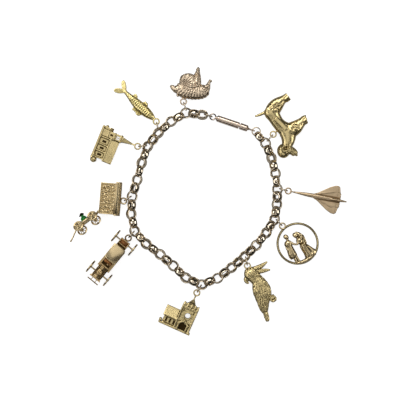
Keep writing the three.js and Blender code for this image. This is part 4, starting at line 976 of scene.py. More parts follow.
def short_church():
    name = "short_spire_church"
    h, t, s = SHORT["high"], SHORT["thick"], SHORT["start"]
    mid = t / 2
    work, cut = Work(), Work()
    spire(work, [(s + 0.08 * h, 0.1, 0.18), (s + 0.12 * h, 0.1, 0.36), (s + 0.19 * h, 0.12, 0.95),
                 (s + 0.27 * h, 0.14, 1.75), (s + 0.285 * h, 0.14, 1.85)], mid)
    work.box((s + 0.27 * h, -0.175 * h, 0.15), (1.02 * h, 0.205 * h, t - 0.15), 0.1)
    for x in (0.275, 0.36, 0.72):
        work.box((s + x * h, -0.195 * h, 0.02), (s + (x + 0.025) * h, 0.225 * h, t - 0.02), 0.06)
    for y in (-0.18, -0.08, 0.02, 0.12, 0.205):
        work.box((s + 0.235 * h, (y - 0.018) * h, t - 0.75), (s + 0.29 * h, (y + 0.018) * h, t - 0.15), 0.06)
        work.box((s + 0.31 * h, (y - 0.01) * h, t - 0.3), (s + 0.36 * h, (y + 0.02) * h, t + 0.06), 0.05)
    for y in (-0.185, 0.215):
        work.box((s + 0.3 * h, (y - 0.02) * h, 0.05), (s + h, (y + 0.02) * h, t - 0.05), 0.08)
    work.ring((s + 0.57 * h, 0.03 * h, t - 0.25), 0.088 * h, 0.34)
    work.ring((s + 0.57 * h, 0.03 * h, 0.25), 0.088 * h, 0.34)
    gable = [(0.69, 0.01), (0.8, 0.165), (0.835, 0.165), (0.835, 0.12), (0.74, 0.01), (0.835, -0.1),
             (0.835, -0.145), (0.8, -0.145)]
    work.plate([(s + x * h, y * h) for x, y in gable], t - 0.35, t + 0.42, 0.06)
    for y in (-0.105, 0.125):
        work.box((s + 0.8 * h, (y - 0.02) * h, t - 0.4), (s + h, (y + 0.02) * h, t + 0.3), 0.06)
    nave = (-0.53 * h, -0.17 * h)
    work.box((s + 0.72 * h, nave[0], 0.14 * t), (1.02 * h, nave[1], 0.84 * t), 0.08)
    line = ((0.5, 0.5), (0.755, 0.0), (0.79, 0.0), (0.79, 0.98), (0.755, 0.98))
    roof(work, [(s + x * h, z * t) for x, z in line], -0.57 * h, nave[1])
    work.rod((s + 0.28 * h, -0.17 * h, mid), (s + 0.33 * h, -0.17 * h, mid), 0.36)
    work.ball((s + 0.275 * h, -0.17 * h, mid), (0.42, 0.42, 0.42))
    work.ball((s + 0.93 * h, -0.585 * h, mid * 1.1), (0.75, 0.55, 1.3))
    work.ball((s + 0.965 * h, -0.5 * h, t - 0.5), (0.4, 0.55, 0.5))
    work.box((s + 0.965 * h, -0.61 * h, 0.0), (s + 1.02 * h, 0.27 * h, t - 0.02), 0.1)
    work.lug(level_of(name), (s + 1.9, 0.1, mid))
    made = skinned(work, name, 0.115, 5)
    cut.rod((s + 0.57 * h, 0.03 * h, -1), (s + 0.57 * h, 0.03 * h, t + 1), 0.072 * h, sides=32)
    porch = [(0.755, 0.01), (0.835, 0.105), (0.962, 0.105), (0.962, -0.09), (0.835, -0.09)]
    cut.plate([(s + x * h, y * h) for x, y in porch], 0.42 * t, t + 1)
    for y in (-0.445, -0.34, -0.235):
        cut.box((s + 0.815 * h, (y - 0.026) * h, 0.7 * t), (s + 0.925 * h, (y + 0.026) * h, t), 0.0)
    cut.box((s + 0.42 * h, -0.135 * h, t - 0.5), (s + 0.5 * h, -0.105 * h, t + 1), 0.0)
    cut.box((s + 0.42 * h, 0.135 * h, t - 0.5), (s + 0.5 * h, 0.165 * h, t + 1), 0.0)
    # Painted shade: near-black plates at the floors of the porch and the three windows, where the recesses
    # are in shade.
    dark = Work()
    dark.plate([(s + x * h, y * h) for x, y in porch], 0.42 * t, 0.42 * t + 0.04)
    for y in (-0.445, -0.34, -0.235):
        dark.box((s + 0.81 * h, (y - 0.03) * h, 0.7 * t - 0.02),
                 (s + 0.93 * h, (y + 0.03) * h, 0.7 * t + 0.02), 0)
    placed(dark.mesh("dark"), "short_spire_church_hollows", charm_place(name), finish("shadow_gold"),
           "olive_gold")

    def relief(p, n):
        x, y = p.T[:2]
        wall = hump(x, s + 0.38 * h, s + 0.78 * h, 0.1) * step(y, nave[1], nave[1] + 0.2)
        hedge = (1 - step(y, -0.52 * h, -0.48 * h)) * step(x, s + 0.83 * h, s + 0.86 * h)
        return (wall * masonry(p, 0.9, 0.03) + hedge * (grains(p, 0.5, 4) - 0.4) * 0.16)

    carved(made, relief)
    made = combined(made, name, cut.mesh("cutters"), "DIFFERENCE")
    placed(made, "short_spire_church_casting", charm_place(name), finish("olive_gold"), "olive_gold", name)


TALL = {"high": 13.7, "thick": 3.2, "start": 1.0}


def tall_church():
    name = "tall_spire_church"
    h, t, s = TALL["high"], TALL["thick"], TALL["start"]
    mid = t / 2
    work, cut = Work(), Work()
    spire(work, [(s + 0.03 * h, 0.0, 0.2), (s + 0.1 * h, 0.0, 0.36), (s + 0.38 * h, -0.05, 1.05),
                 (s + 0.41 * h, -0.06, 1.28), (s + 0.43 * h, -0.06, 1.3)], mid)
    work.box((s + 0.41 * h, -0.1 * h, 0.1), (s + 1.0 * h, 0.085 * h, t - 0.1), 0.08)
    for x in (0.42, 0.6, 0.78):
        work.box((s + x * h, -0.115 * h, 0.0), (s + (x + 0.025) * h, 0.1 * h, t), 0.06)
    for y in (-0.105, 0.085):
        for z in (0.25, t - 0.25):
            work.ball((s + 0.415 * h, y * h, z), (0.34, 0.22, 0.22))
    work.box((s + 0.76 * h, -0.18 * h, 0.1 * t), (s + 1.0 * h, -0.08 * h, 0.8 * t), 0.08)
    roof(work, [(s + x * h, z * t) for x, z in ((0.7, 0.45), (0.78, 0.05), (0.8, 0.85))], -0.2 * h, -0.08 * h)
    work.box((s + 0.62 * h, 0.07 * h, 0.1 * t), (s + 1.0 * h, 0.72 * h, 0.86 * t), 0.08)
    line = ((0.42, 0.5), (0.66, 0.0), (0.695, 0.0), (0.695, 1.0), (0.66, 1.0))
    roof(work, [(s + x * h, z * t) for x, z in line], 0.07 * h, 0.76 * h)
    for y in (0.12, 0.325, 0.515, 0.705):
        work.box((s + 0.7 * h, (y - 0.016) * h, 0.8 * t), (s + 1.0 * h, (y + 0.016) * h, 0.97 * t), 0.06)
    work.box((s + 0.965 * h, -0.19 * h, 0.0), (s + 1.025 * h, 0.78 * h, t), 0.1)
    work.ball((s + 0.93 * h, 0.79 * h, mid), (1.25, 1.2, 1.3))
    work.ball((s + 0.9 * h, -0.2 * h, mid * 1.15), (0.6, 0.5, 0.9))
    work.ball((s + 0.965 * h, 0.66 * h, t - 0.35), (0.5, 0.7, 0.45))
    work.lug(level_of(name), (s + 1.6, 0, mid))
    made = skinned(work, name, 0.11, 5)
    cut.box((s + 0.46 * h, -0.045 * h, -1), (s + 0.57 * h, -0.008 * h, t + 1), 0.0)
    cut.box((s + 0.46 * h, 0.008 * h, -1), (s + 0.57 * h, 0.045 * h, t + 1), 0.0)
    for y in (0.23, 0.42, 0.61):
        cut.box((s + 0.765 * h, (y - 0.032) * h, 0.62 * t), (s + 0.88 * h, (y + 0.032) * h, t + 0.5), 0.0)
    cut.box((s + 0.66 * h, -0.035 * h, t - 0.5), (s + 0.74 * h, 0.02 * h, t + 0.5), 0.0)
    # Painted shade: near-black plates at the floors of the three windows and of the slot in the tower, where
    # the recesses are in shade.
    dark = Work()
    for y in (0.23, 0.42, 0.61):
        dark.box((s + 0.76 * h, (y - 0.036) * h, 0.62 * t - 0.02),
                 (s + 0.885 * h, (y + 0.036) * h, 0.62 * t + 0.02), 0)
    dark.box((s + 0.655 * h, -0.04 * h, t - 0.5), (s + 0.745 * h, 0.025 * h, t - 0.46), 0)
    placed(dark.mesh("dark"), "tall_spire_church_hollows", charm_place(name), finish("shadow_gold"),
           "olive_gold")

    def relief(p, n):
        x, y = p.T[:2]
        wall = hump(x, s + 0.44 * h, s + 0.95 * h, 0.1) * (1 - step(y, 0.07 * h, 0.09 * h))
        side = (step(x, s + 0.72 * h, s + 0.74 * h) * step(y, 0.1 * h, 0.12 * h)
                * (1 - step(y, 0.7 * h, 0.72 * h)))
        bush = step(y, 0.7 * h, 0.72 * h) * step(x, s + 0.8 * h, s + 0.84 * h)
        return ((wall + side) * masonry(p, 0.8, 0.03) + bush * (grains(p, 0.55, 9) - 0.4) * 0.18)

    carved(made, relief)
    made = combined(made, name, cut.mesh("cutters"), "DIFFERENCE")
    placed(made, "tall_spire_church_casting", charm_place(name), finish("olive_gold"), "olive_gold", name)


# A casting: its length and its thickness.
TERRIER = {"size": (21.7, 3.8)}
TERRIER_LIMBS = [
    [(-0.43, 0.2, 0.06, 0.3), (-0.38, 0.215, 0.11, 0.44), (-0.3, 0.225, 0.13, 0.48),
     (-0.2, 0.21, 0.115, 0.44),
     (-0.1, 0.195, 0.11, 0.42), (0.0, 0.2, 0.12, 0.45), (0.09, 0.215, 0.14, 0.48), (0.18, 0.19, 0.14, 0.47),
     (0.25, 0.13, 0.12, 0.44), (0.3, 0.06, 0.095, 0.4), (0.33, 0.0, 0.08, 0.36)],
    [(-0.3, 0.18, 0.1, 0.46), (-0.325, 0.27, 0.13, 0.5), (-0.345, 0.37, 0.125, 0.5), (-0.35, 0.46, 0.1, 0.44),
     (-0.345, 0.53, 0.075, 0.38), (-0.335, 0.58, 0.075, 0.38), (-0.33, 0.635, 0.075, 0.38)],
    [(0.12, 0.16, 0.11, 0.46), (0.15, 0.28, 0.135, 0.5), (0.165, 0.38, 0.125, 0.5), (0.165, 0.46, 0.1, 0.45),
     (0.165, 0.53, 0.08, 0.4), (0.17, 0.58, 0.085, 0.4), (0.185, 0.615, 0.08, 0.38)],
    [(-0.37, 0.18, 0.035, 0.16), (-0.39, 0.12, 0.028, 0.13), (-0.41, 0.05, 0.026, 0.12),
     (-0.445, -0.035, 0.016, 0.09)],
    [(0.35, 0.0, 0.08, 0.34), (0.41, 0.045, 0.075, 0.33), (0.46, 0.065, 0.066, 0.3),
     (0.505, 0.062, 0.062, 0.28), (0.53, 0.058, 0.04, 0.2)],
]


def terrier():
    name = "terrier"
    length, thick = TERRIER["size"]
    work = Work()
    work.limbs(TERRIER["size"], TERRIER_LIMBS, 4, 18)
    work.ball((0.335 * length, -0.055 * length, thick / 2), (2.75, 2.45, 1.85), turn=-35)
    for side in (-1, 1):
        z = thick / 2 + side * 1.55
        work.oval((0.325 * length, 0.0, z + side * 0.3), 1.65, 0.95, 0.5, 78)
        work.ball((0.42 * length, 0.015 * length, thick / 2 + side * 1.08), (0.28, 0.28, 0.24))
    work.ball((0.545 * length, 0.07 * length, thick / 2), (0.4, 0.5, 0.5))
    for side in (-1, 1):
        turn = Matrix.Translation((-1.1, 4.7, thick / 2 + side * 1.62)) @ Matrix.Rotation(0.07, 4, "Z")
        work.plate([(-3.0, -0.8), (3.0, -0.8), (3.0, 0.8), (-3.0, 0.8)], -0.3, 0.3, 0.12, turn=turn)
    work.lug(level_of(name), (0, 2.7, thick / 2))
    made = skinned(work, name, 0.12, 9)

    def relief(p, n):
        x, y = p.T[:2]
        along, aside = x / length, y / length
        legs = np.maximum(hump(along, -0.5, -0.2, 0.02) * step(aside, 0.12, 0.2),
                          hump(along, 0.04, 0.32, 0.02) * step(aside, 0.16, 0.24))
        foot = step(aside, 0.545, 0.56)
        curls = (grains(p, 0.95, 21, 0.85) - 0.35) * 0.5
        tufts = np.exp(-(((x + 7.4) / 1.7) ** 2 + ((y - 7.4) / 2.3) ** 2) ** 2)
        tufts += np.exp(-(((x - 3.4) / 1.5) ** 2 + ((y - 7.7) / 1.9) ** 2) ** 2)
        rings = np.sin(aside * 120 + 2 * np.sin(x * 1.4)) * 0.012
        low = legs * step(aside, 0.42, 0.48) * (1 - foot)
        toes = legs * foot * np.sin(x * 5.2) * 0.08
        head = step(along, 0.22, 0.27)
        ear = np.hypot((y * 0.98 + (x - 0.325 * length) * 0.2) / 1.5,
                       ((x - 0.325 * length) * 0.98 - y * 0.2) / 0.85)
        cup = -np.exp(-(ear / 0.6) ** 4) * 0.3 * step(np.abs(n[:, 2]), 0.3, 0.6)
        hair = np.sin((y * 1.3 + x * 0.5 + 0.5 * np.sin(x * 2)) * 5) * 0.015
        return tufts * curls + low * rings + toes + head * (cup + hair)

    carved(made, relief)
    placed(made, "terrier_casting", charm_place(name), finish("olive_gold"), "olive_gold", name)


LION = {"size": (14.6, 3.8)}
LION_LIMBS = [
    [(-0.66, -0.3, 0.05, 0.26), (-0.62, -0.29, 0.13, 0.4), (-0.52, -0.27, 0.18, 0.47),
     (-0.4, -0.245, 0.19, 0.48),
     (-0.26, -0.25, 0.2, 0.49), (-0.12, -0.28, 0.21, 0.5), (0.0, -0.31, 0.21, 0.49), (0.1, -0.34, 0.18, 0.46),
     (0.18, -0.36, 0.12, 0.38)],
    [(-0.13, -0.2, 0.17, 0.46), (-0.14, -0.36, 0.22, 0.5), (-0.13, -0.5, 0.24, 0.5),
     (-0.12, -0.61, 0.22, 0.46), (-0.12, -0.69, 0.16, 0.38), (-0.12, -0.735, 0.06, 0.2)],
    [(-0.58, -0.3, 0.11, 0.44), (-0.63, -0.4, 0.075, 0.36), (-0.66, -0.48, 0.04, 0.26),
     (-0.69, -0.53, 0.045, 0.26), (-0.735, -0.555, 0.03, 0.2)],
    [(-0.33, -0.4, 0.13, 0.46), (-0.35, -0.56, 0.11, 0.42), (-0.36, -0.7, 0.085, 0.36),
     (-0.375, -0.78, 0.055, 0.3), (-0.38, -0.85, 0.05, 0.28), (-0.41, -0.88, 0.035, 0.2)],
    [(0.12, -0.32, 0.12, 0.42), (0.2, -0.33, 0.105, 0.4), (0.25, -0.35, 0.07, 0.32),
     (0.3, -0.385, 0.058, 0.27), (0.335, -0.4, 0.03, 0.18)],
    [(0.11, -0.24, 0.06, 0.3), (0.14, -0.18, 0.045, 0.22), (0.155, -0.13, 0.02, 0.12)],
]


def lion_dog():
    name = "lion_dog"
    length, thick = LION["size"]
    work = Work()
    work.limbs(LION["size"], LION_LIMBS, 4, 18)
    work.ball((4.55, -5.75, thick / 2), (0.62, 0.62, 0.62))
    for side in (-1, 1):
        work.ball((0.2 * length, -0.29 * length, thick / 2 + side * 1.38), (0.26, 0.26, 0.2))
        work.run([(0.12 * length, -0.25 * length, thick / 2 + side * 1.2, 0.5, 0.3),
                  (0.15 * length, -0.2 * length, thick / 2 + side * 1.4, 0.4, 0.24),
                  (0.17 * length, -0.15 * length, thick / 2 + side * 1.2, 0.15, 0.12)], 3, 10)
    work.ball((-4.3, -5.6, thick / 2), (1.6, 1.5, 1.85))
    work.ball((-8.5, -4.6, thick / 2), (1.5, 1.5, 1.7))
    work.lug(level_of(name), (-0.5, -2.4, thick / 2))
    made = skinned(work, name, 0.105, 5)

    def relief(p, n):
        x, y = p.T[:2]

        def swirl(cx, cy, turns, twist, rise):
            dx, dy = x - cx, y - cy
            return np.sin(turns * np.arctan2(dy, dx) + twist * np.hypot(dx, dy)) * rise

        mane = np.exp(-(((x + 1.2) / 3.0) ** 2 + ((y + 6.5) / 3.6) ** 2))
        curl = np.exp(-(((x + 4.4) / 1.5) ** 2 + ((y + 6.2) / 1.5) ** 2) ** 2)
        rump = np.exp(-(((x + 8.4) / 1.7) ** 2 + ((y + 4.8) / 1.8) ** 2) ** 2)
        face = step(x, 1.9, 2.4)
        back = np.clip(1 - mane - curl - rump, 0, 1) * (1 - face)
        fan = swirl(2.2, -4.4, 44, 1.1, 0.09)
        return (mane * fan * (1 - curl) + curl * swirl(-4.4, -6.2, 3, 5.5, 0.12)
                + rump * swirl(-8.4, -4.8, 3, 5.0, 0.11) + back * swirl(-3.0, -9.5, 40, 2.2, 0.075)
                + face * waves(p, 0.6, 6) * 0.05) * step(np.hypot(x, y), 1.4, 2.0)

    carved(made, relief)
    placed(made, "lion_dog_casting", charm_place(name), finish("lion_gold"), "pale_rose_gold", name)


def wheel_mesh(work, r, tyre, track, axle, spokes, place, disc=False):
    """Two spoked wheels on their axle, which is along Y before it is placed; a disc can back one's spokes."""
    part = Work()
    for side in (-1, 1):
        y = side * track / 2
        part.ring((0, y, 0), r - tyre * 0.42, tyre * 0.84, (0, 1, 0), flat=tyre / (tyre * 0.84))
        part.ring((0, y, 0), r * 0.74, tyre * 0.4, (0, 1, 0), flat=1.2)
        part.turned([(0, -0.42), (0.42, -0.42), (0.55, -0.3), (0.55, 0.2), (0.4, 0.32), (0.28, 0.42),
                     (0, 0.46)],
                    (0, y, 0), (0, y + side, 0), 24)
        for k in range(spokes):
            a = 2 * math.pi * k / spokes
            part.rod((0.4 * math.cos(a), y, 0.4 * math.sin(a)),
                     ((r - tyre * 0.5) * math.cos(a), y, (r - tyre * 0.5) * math.sin(a)), 0.14, 0.12, 8)
    if disc:
        part.rod((0, track / 2 - 0.1, 0), (0, track / 2 + 0.1, 0), r * 0.88, sides=40)
    part.rod((0, -track / 2, 0), (0, track / 2, 0), axle, sides=20)
    work.add(part, place)


# The car: its length, and its wheels' radius, tyre, track and axle; heights of its floor and its roof.
CAR = {"length": 21.3, "r": 2.75, "tyre": 0.6, "track": 8.4, "axle": 0.3, "floor": 3.3, "plate": 0.6,
       "roof": 7.9}


def bearing(work, high, half, hole, thick, place):
    """A bearing plate in the XZ plane with its axle's hole at the origin."""
    part = Work()
    part.ring((0, 0, 0), hole + 0.2, 0.4, (0, 1, 0), flat=thick / 0.4, steps=24)
    part.box((-half, -thick / 2, hole + 0.12), (half, thick / 2, high), 0.06)
    work.add(part, place)


def car():
    name = "car"
    length, r, floor, plate, top = CAR["length"], CAR["r"], CAR["floor"], CAR["plate"], CAR["roof"]
    place = charm_place(name)
    work, seats = Work(), Work()
    work.box((0.06 * length, -0.095 * length, floor), (0.93 * length, 0.095 * length, floor + plate), 0.1)
    for x in (0.11, 0.81):
        for y in (-1.6, 1.6):
            bearing(work, floor - r + 0.3, 0.5, 0.55, 0.55, Matrix.Translation((x * length, y, r)))
    back, seat_top = 0.055 * length, floor + 2.3
    for low, high in (((back, -1.95, floor), (back + 0.35, 1.95, seat_top)),
                      ((back + 2.0, -1.95, floor), (back + 2.35, 1.95, seat_top - 0.5)),
                      ((back, -1.95, floor), (back + 2.3, -1.6, seat_top)),
                      ((back, 1.6, floor), (back + 2.3, 1.95, seat_top))):
        work.box(low, high, 0.1)
    seats.box((back + 0.3, -1.65, floor + 0.4), (back + 2.05, 1.65, floor + 1.5), 0.25)
    seats.box((back + 0.3, -1.6, floor + 1.2), (back + 0.75, 1.6, floor + 2.2), 0.15)
    cab = (0.215 * length, 0.485 * length)
    work.box((cab[0], -2.05, floor + 0.3), (cab[0] + 0.3, 2.05, top - 0.3), 0.06)
    for side in (-1, 1):
        work.box((cab[0], side * 2.0 - 0.15, floor + 0.3), (cab[1], side * 2.0 + 0.15, floor + 2.2), 0.06)
        for x in (cab[0] + 0.15, (cab[0] + cab[1]) / 2, cab[1] - 0.15):
            work.box((x - 0.15, side * 2.0 - 0.13, floor + 2.0), (x + 0.15, side * 2.0 + 0.13, top - 0.3),
                     0.05)
    cover = Work()
    cover.box((0.2 * length, -0.118 * length, top - 0.42), (0.497 * length, 0.118 * length, top), 0.14)
    placed(cover.mesh("cover"), "car_roof", place, finish("pale_gold"), "pale_gold", sunk=False, edge=25)
    for y in (-2.42, 2.42):
        work.rod((0.2 * length + 0.1, y, top - 0.2), (0.497 * length - 0.1, y, top - 0.2), 0.17, soft=0.04)
    for x in (0.2 * length + 0.12, 0.497 * length - 0.12):
        work.rod((x, -2.4, top - 0.2), (x, 2.4, top - 0.2), 0.17, soft=0.04)
    seats.box((cab[0] + 0.3, -1.85, floor + 0.5), (cab[1] - 0.4, 1.85, floor + 2.1), 0.3)
    seats.box((0.525 * length, -1.75, floor + 0.5), (0.585 * length, 1.75, floor + 1.6), 0.25)
    work.box((0.5 * length, -1.95, floor), (0.52 * length, 1.95, floor + 2.3), 0.08)
    for side in (-1, 1):
        work.box((0.5 * length, side * 1.9 - 0.14, floor), (0.63 * length, side * 1.9 + 0.14, floor + 1.7),
                 0.08)
    work.box((0.63 * length, -1.95, floor), (0.65 * length, 1.95, floor + 3.0), 0.08)
    work.rod((0.62 * length, 0.75, floor + 1.2), (0.575 * length, 0.75, floor + 2.6), 0.12, sides=12)
    work.ring((0.572 * length, 0.75, floor + 2.65), 0.55, 0.18, (-0.55, 0, 0.85), steps=28)
    bonnet = [(floor + 0.3, -1.45), (floor + 1.7, -1.45), (floor + 2.15, -0.95), (floor + 2.32, 0.0),
              (floor + 2.15, 0.95), (floor + 1.7, 1.45), (floor + 0.3, 1.45)]
    turn = Matrix(((0, 0, 1, 0), (0, 1, 0, 0), (1, 0, 0, 0), (0, 0, 0, 1)))
    work.plate(bonnet, 0.655 * length, 0.87 * length, 0.12, turn=turn)
    work.plate([(a, b * 1.12) for a, b in bonnet], 0.865 * length, 0.893 * length, 0.08, turn=turn)
    for k in range(5):
        x = (0.69 + 0.036 * k) * length
        for side in (-1, 1):
            work.box((x, side * 1.46 - 0.06, floor + 0.7), (x + 0.3, side * 1.46 + 0.06, floor + 1.6), 0.03)
    work.turned([(0, 0), (1.02, 0.0), (1.05, 0.16), (0.86, 0.24), (0.8, 0.14), (0.5, 0.14), (0.42, 0.34),
                 (0.2, 0.46), (0, 0.48)], (0.78 * length, 0, floor + 2.24), (0.78 * length, 0, floor + 3.24),
                 32)
    for side in (-1, 1):
        work.turned([(0, 0), (0.3, 0.05), (0.5, 0.45), (0.55, 0.62), (0.4, 0.6), (0, 0.5)],
                    (0.895 * length, side * 1.9, floor + 1.5), (0.93 * length, side * 1.9, floor + 1.5), 20)
        work.rod((0.885 * length, side * 1.3, floor + 0.4), (0.905 * length, side * 1.9, floor + 1.3), 0.13,
                 sides=10)
        work.box((0.9 * length, side * 0.9 - 0.16, floor), (0.985 * length, side * 0.9 + 0.16, floor + 0.4),
                 0.06)
        work.box((0.24 * length, side * 2.35 - 0.35, floor + 0.05),
                 (0.7 * length, side * 2.35 + 0.35, floor + 0.3), 0.08)
    work.rod((0.985 * length, -2.5, floor + 0.3), (0.985 * length, 2.5, floor + 0.3), 0.22, soft=0.08)
    work.rod((LOOP["r"], 0, level_of(name)), (0.08 * length, 0, floor + plate / 2), 0.32)
    work.ring((0, 0, level_of(name)), LOOP["r"], LOOP["wire"])
    # Painted shade: near-black plates in the gap behind the rear seat, on the floor by the front seats, at
    # the bonnet's back edge and along its sides, and a ring round the bonnet cap.
    dark = Work()
    for x0, x1, z in ((3.55, 4.3, 1.0), (10.4, 13.4, 0.62), (13.85, 14.05, 2.0)):
        dark.box((x0, -1.78, floor + z), (x1, 1.78, floor + z + 0.05), 0)
    for side in (-1, 1):
        dark.box((13.9, side * 1.72 - 0.2, floor + 0.62), (18.6, side * 1.72 + 0.2, floor + 0.67), 0)
    dark.ring((0.78 * length, 0, floor + 2.36), 1.18, 0.26)
    placed(dark.mesh("dark"), "car_hollows", place, finish("shadow_gold"), "pale_gold")
    placed(work.mesh(name), "car_body", place, finish("car_gold"), "pale_gold", name, edge=14)
    placed(seats.mesh("car_seats"), "car_seats", place, finish("dark_gold"), "pale_gold")
    for x, node in ((0.11, "car_rear_wheels"), (0.81, "car_front_wheels")):
        wheels = Work()
        wheel_mesh(wheels, r, CAR["tyre"], CAR["track"], CAR["axle"], 10,
                   Matrix.Translation((x * length, 0, r)))
        placed(wheels.mesh(node), node + "_spoked", place, finish("warm_gold"), "pale_gold", node,
               body=node + "_body", edge=25)


# The caravan on its side: its length, width and thickness, and its carriage's wheels, track and wheelbase.
VAN = {"long": 11.6, "wide": 5.7, "thick": 5.4, "roof": 2.0, "lift": 0.2, "r": 2.0, "tyre": 0.5, "track": 4.2,
       "axle": 0.3, "base": 6.4}
# Where the swung-out carriage is, and how it is turned and rolled, in degrees.
CARRIAGE = {"at": (13.0, 9.4, 3.42), "heading": 40.6, "roll": 120}


def caravan():
    name = "caravan"
    place = charm_place(name)
    swing = (place @ Matrix.Translation(CARRIAGE["at"])
             @ Matrix.Rotation(math.radians(CARRIAGE["heading"]), 4, "Z")
             @ Matrix.Rotation(math.radians(CARRIAGE["roll"]), 4, "X"))
    long, wide, thick, lift = VAN["long"], VAN["wide"], VAN["thick"], VAN["lift"]
    x0 = LOOP["r"] + VAN["roof"]
    y0, y1 = -0.55 * long, 0.47 * long
    work = Work()
    work.box((x0 - 0.3, y0, lift), (x0 + wide, y1, thick - 0.25), 0.12)
    for x, w in ((x0 + 0.15, 0.3), (x0 + wide - 0.2, 0.25)):
        work.box((x, y0 - 0.05, thick - 0.4), (x + w, y1 + 0.05, thick), 0.06)
    for y in (y0, y1 - 0.3):
        work.box((x0 + 0.15, y, thick - 0.4), (x0 + wide, y + 0.3, thick), 0.06)
    for y in (-0.17 * long, -0.05 * long):
        for low, high in (((x0 + 1.45, y - 0.48), (x0 + 2.6, y - 0.3)),
                          ((x0 + 1.45, y + 0.3), (x0 + 2.6, y + 0.48)),
                          ((x0 + 1.4, y - 0.48), (x0 + 1.6, y + 0.48)),
                          ((x0 + 2.45, y - 0.48), (x0 + 2.65, y + 0.48))):
            work.box((*low, thick - 0.35), (*high, thick + 0.05), 0.04)

    def scroll(cx, cy, size, spin, turns, hand):
        rows = []
        for k in range(15):
            t = k / 14
            a = math.radians(spin) + hand * turns * 2 * math.pi * t
            reach = size * (1 - 0.82 * t)
            rows.append((cx + reach * math.cos(a), cy + reach * math.sin(a), thick - 0.24,
                         0.26 * (1 - 0.35 * t), 0.34 * (1 - 0.3 * t)))
        work.run(rows, 1, 8)

    spots = [(0.75, -5.3, 0.55), (1.9, -5.0, 0.7), (3.3, -5.3, 0.65), (4.6, -5.2, 0.7), (0.9, -3.9, 0.55),
             (2.5, -3.7, 0.6), (3.9, -3.8, 0.75), (4.9, -3.2, 0.5), (3.5, -2.3, 0.6), (4.7, -1.9, 0.6),
             (3.4, -0.9, 0.55), (4.6, -0.4, 0.65), (0.8, -2.6, 0.45), (0.8, -1.2, 0.45), (0.8, 0.2, 0.45),
             (2.1, 0.9, 0.65), (3.5, 0.9, 0.65), (4.8, 1.2, 0.6), (0.9, 1.7, 0.55), (2.2, 2.5, 0.7),
             (3.7, 2.5, 0.7), (4.8, 2.9, 0.45), (0.9, 3.3, 0.6), (2.3, 4.1, 0.6), (3.7, 4.1, 0.6),
             (1.0, 4.7, 0.4), (4.8, 4.4, 0.45)]
    for i, (x, y, size) in enumerate(spots):
        scroll(x0 + x, y, size, 137.5 * i, 1.15, 1 if i % 2 else -1)
        work.ball((x0 + x, y, thick - 0.16), (0.2, 0.2, 0.2))
    # A darker plate behind the scrolls. Its tone is partly patina and partly painted shade in the gaps
    # between them.
    dark = Work()
    dark.box((x0 + 0.4, y0 + 0.25, thick - 0.26), (x0 + wide - 0.15, y1 - 0.25, thick - 0.22), 0)
    placed(dark.mesh("ground"), "caravan_panel_ground", place, finish("ground_gold"), "pale_gold")
    turn = Matrix.Translation((0, 0.5 * long, 0)) @ Matrix.Rotation(math.pi / 2, 4, "X")
    top = [(0.0, 0.5), (0.06, 0.32), (0.22, 0.17), (0.5, 0.07), (1.0, 0.0), (1.0, 1.0), (0.5, 0.95),
           (0.22, 0.83), (0.06, 0.68)]
    work.plate([(LOOP["r"] - 0.15 + x * VAN["roof"], z * (thick + lift)) for x, z in top], 0, 1.1 * long, 0.1,
               turn=turn)
    for y in (-0.6 * long, 0.46 * long):
        work.box((LOOP["r"] + 0.9, y, 0.05), (LOOP["r"] + 2.1, y + 0.45, thick + lift + 0.05), 0.1)
    cx, cy, cz = CARRIAGE["at"]
    work.run([(x0 + wide - 0.8, 0.36 * long, thick / 2, 0.6, 0.5),
              (x0 + wide + 0.4, 0.4 * long, thick / 2 + 0.2, 0.42, 0.42),
              (cx - 3.2, cy - 3.6, cz - 0.5, 0.42, 0.42), (cx - 2.2, cy - 2.9, cz - 0.6, 0.5, 0.5)], 4, 14)
    work.lug(level_of(name), (LOOP["r"] + 0.3, 0, level_of(name)))
    placed(work.mesh(name), "caravan_body", place, finish("pale_gold"), "pale_gold", name, edge=25)

    base = VAN["base"]
    deck = Work()
    deck.box((-0.62 * base, -1.3, 0.75), (0.62 * base, 1.3, 1.3), 0.12)
    for end in (-1, 1):
        for side in (-1, 1):
            bearing(deck, 1.2, 0.5, 0.55, 0.5, Matrix.Translation((end * base / 2, side * 0.9, 0)))
        deck.box((end * 0.62 * base - 0.14, -1.3, 1.2), (end * 0.62 * base + 0.14, 1.3, 1.75), 0.06)
    deck.run([(0.6 * base, 0, 1.0, 0.32, 0.3), (0.85 * base, -0.6, 0.4, 0.3, 0.28),
              (1.15 * base, -1.4, -0.4, 0.28, 0.26), (1.38 * base, -2.0, -0.9, 0.3, 0.3)], 4, 12)
    deck.ring((1.4 * base, -2.05, -0.95), 0.45, 0.3, (0.3, 0.2, 1), steps=24)
    placed(deck.mesh("carriage"), "caravan_carriage", swing, finish("pale_gold"), "pale_gold", edge=25)
    for end, node in ((-1, "caravan_rear_wheels"), (1, "caravan_front_wheels")):
        wheels = Work()
        wheel_mesh(wheels, VAN["r"], VAN["tyre"], VAN["track"], VAN["axle"], 8,
                   Matrix.Translation((end * base / 2, 0, 0)), disc=True)
        placed(wheels.mesh(node), node + "_spoked", swing, finish("pale_gold"), "pale_gold", node,
               body=node + "_body", edge=25)
    seat = 1.45
    driver = Work()
    driver.run([(0, 0, seat, 1.05, 1.05), (0, 0, seat + 0.35, 1.4, 1.2), (0, 0, seat + 1.0, 1.35, 1.1),
                (0, 0, seat + 1.6, 1.1, 0.9), (0, 0, seat + 1.9, 0.6, 0.6)], 4, 20)
    driver.ball((0.05, 0, seat + 2.25), (0.56, 0.55, 0.56))
    for side in (-1, 1):
        driver.run([(0.0, side * 0.85, seat + 1.6, 0.32, 0.32), (0.55, side * 1.0, seat + 1.1, 0.3, 0.3),
                    (1.15, side * 0.55, seat + 0.95, 0.26, 0.26)], 4, 12)
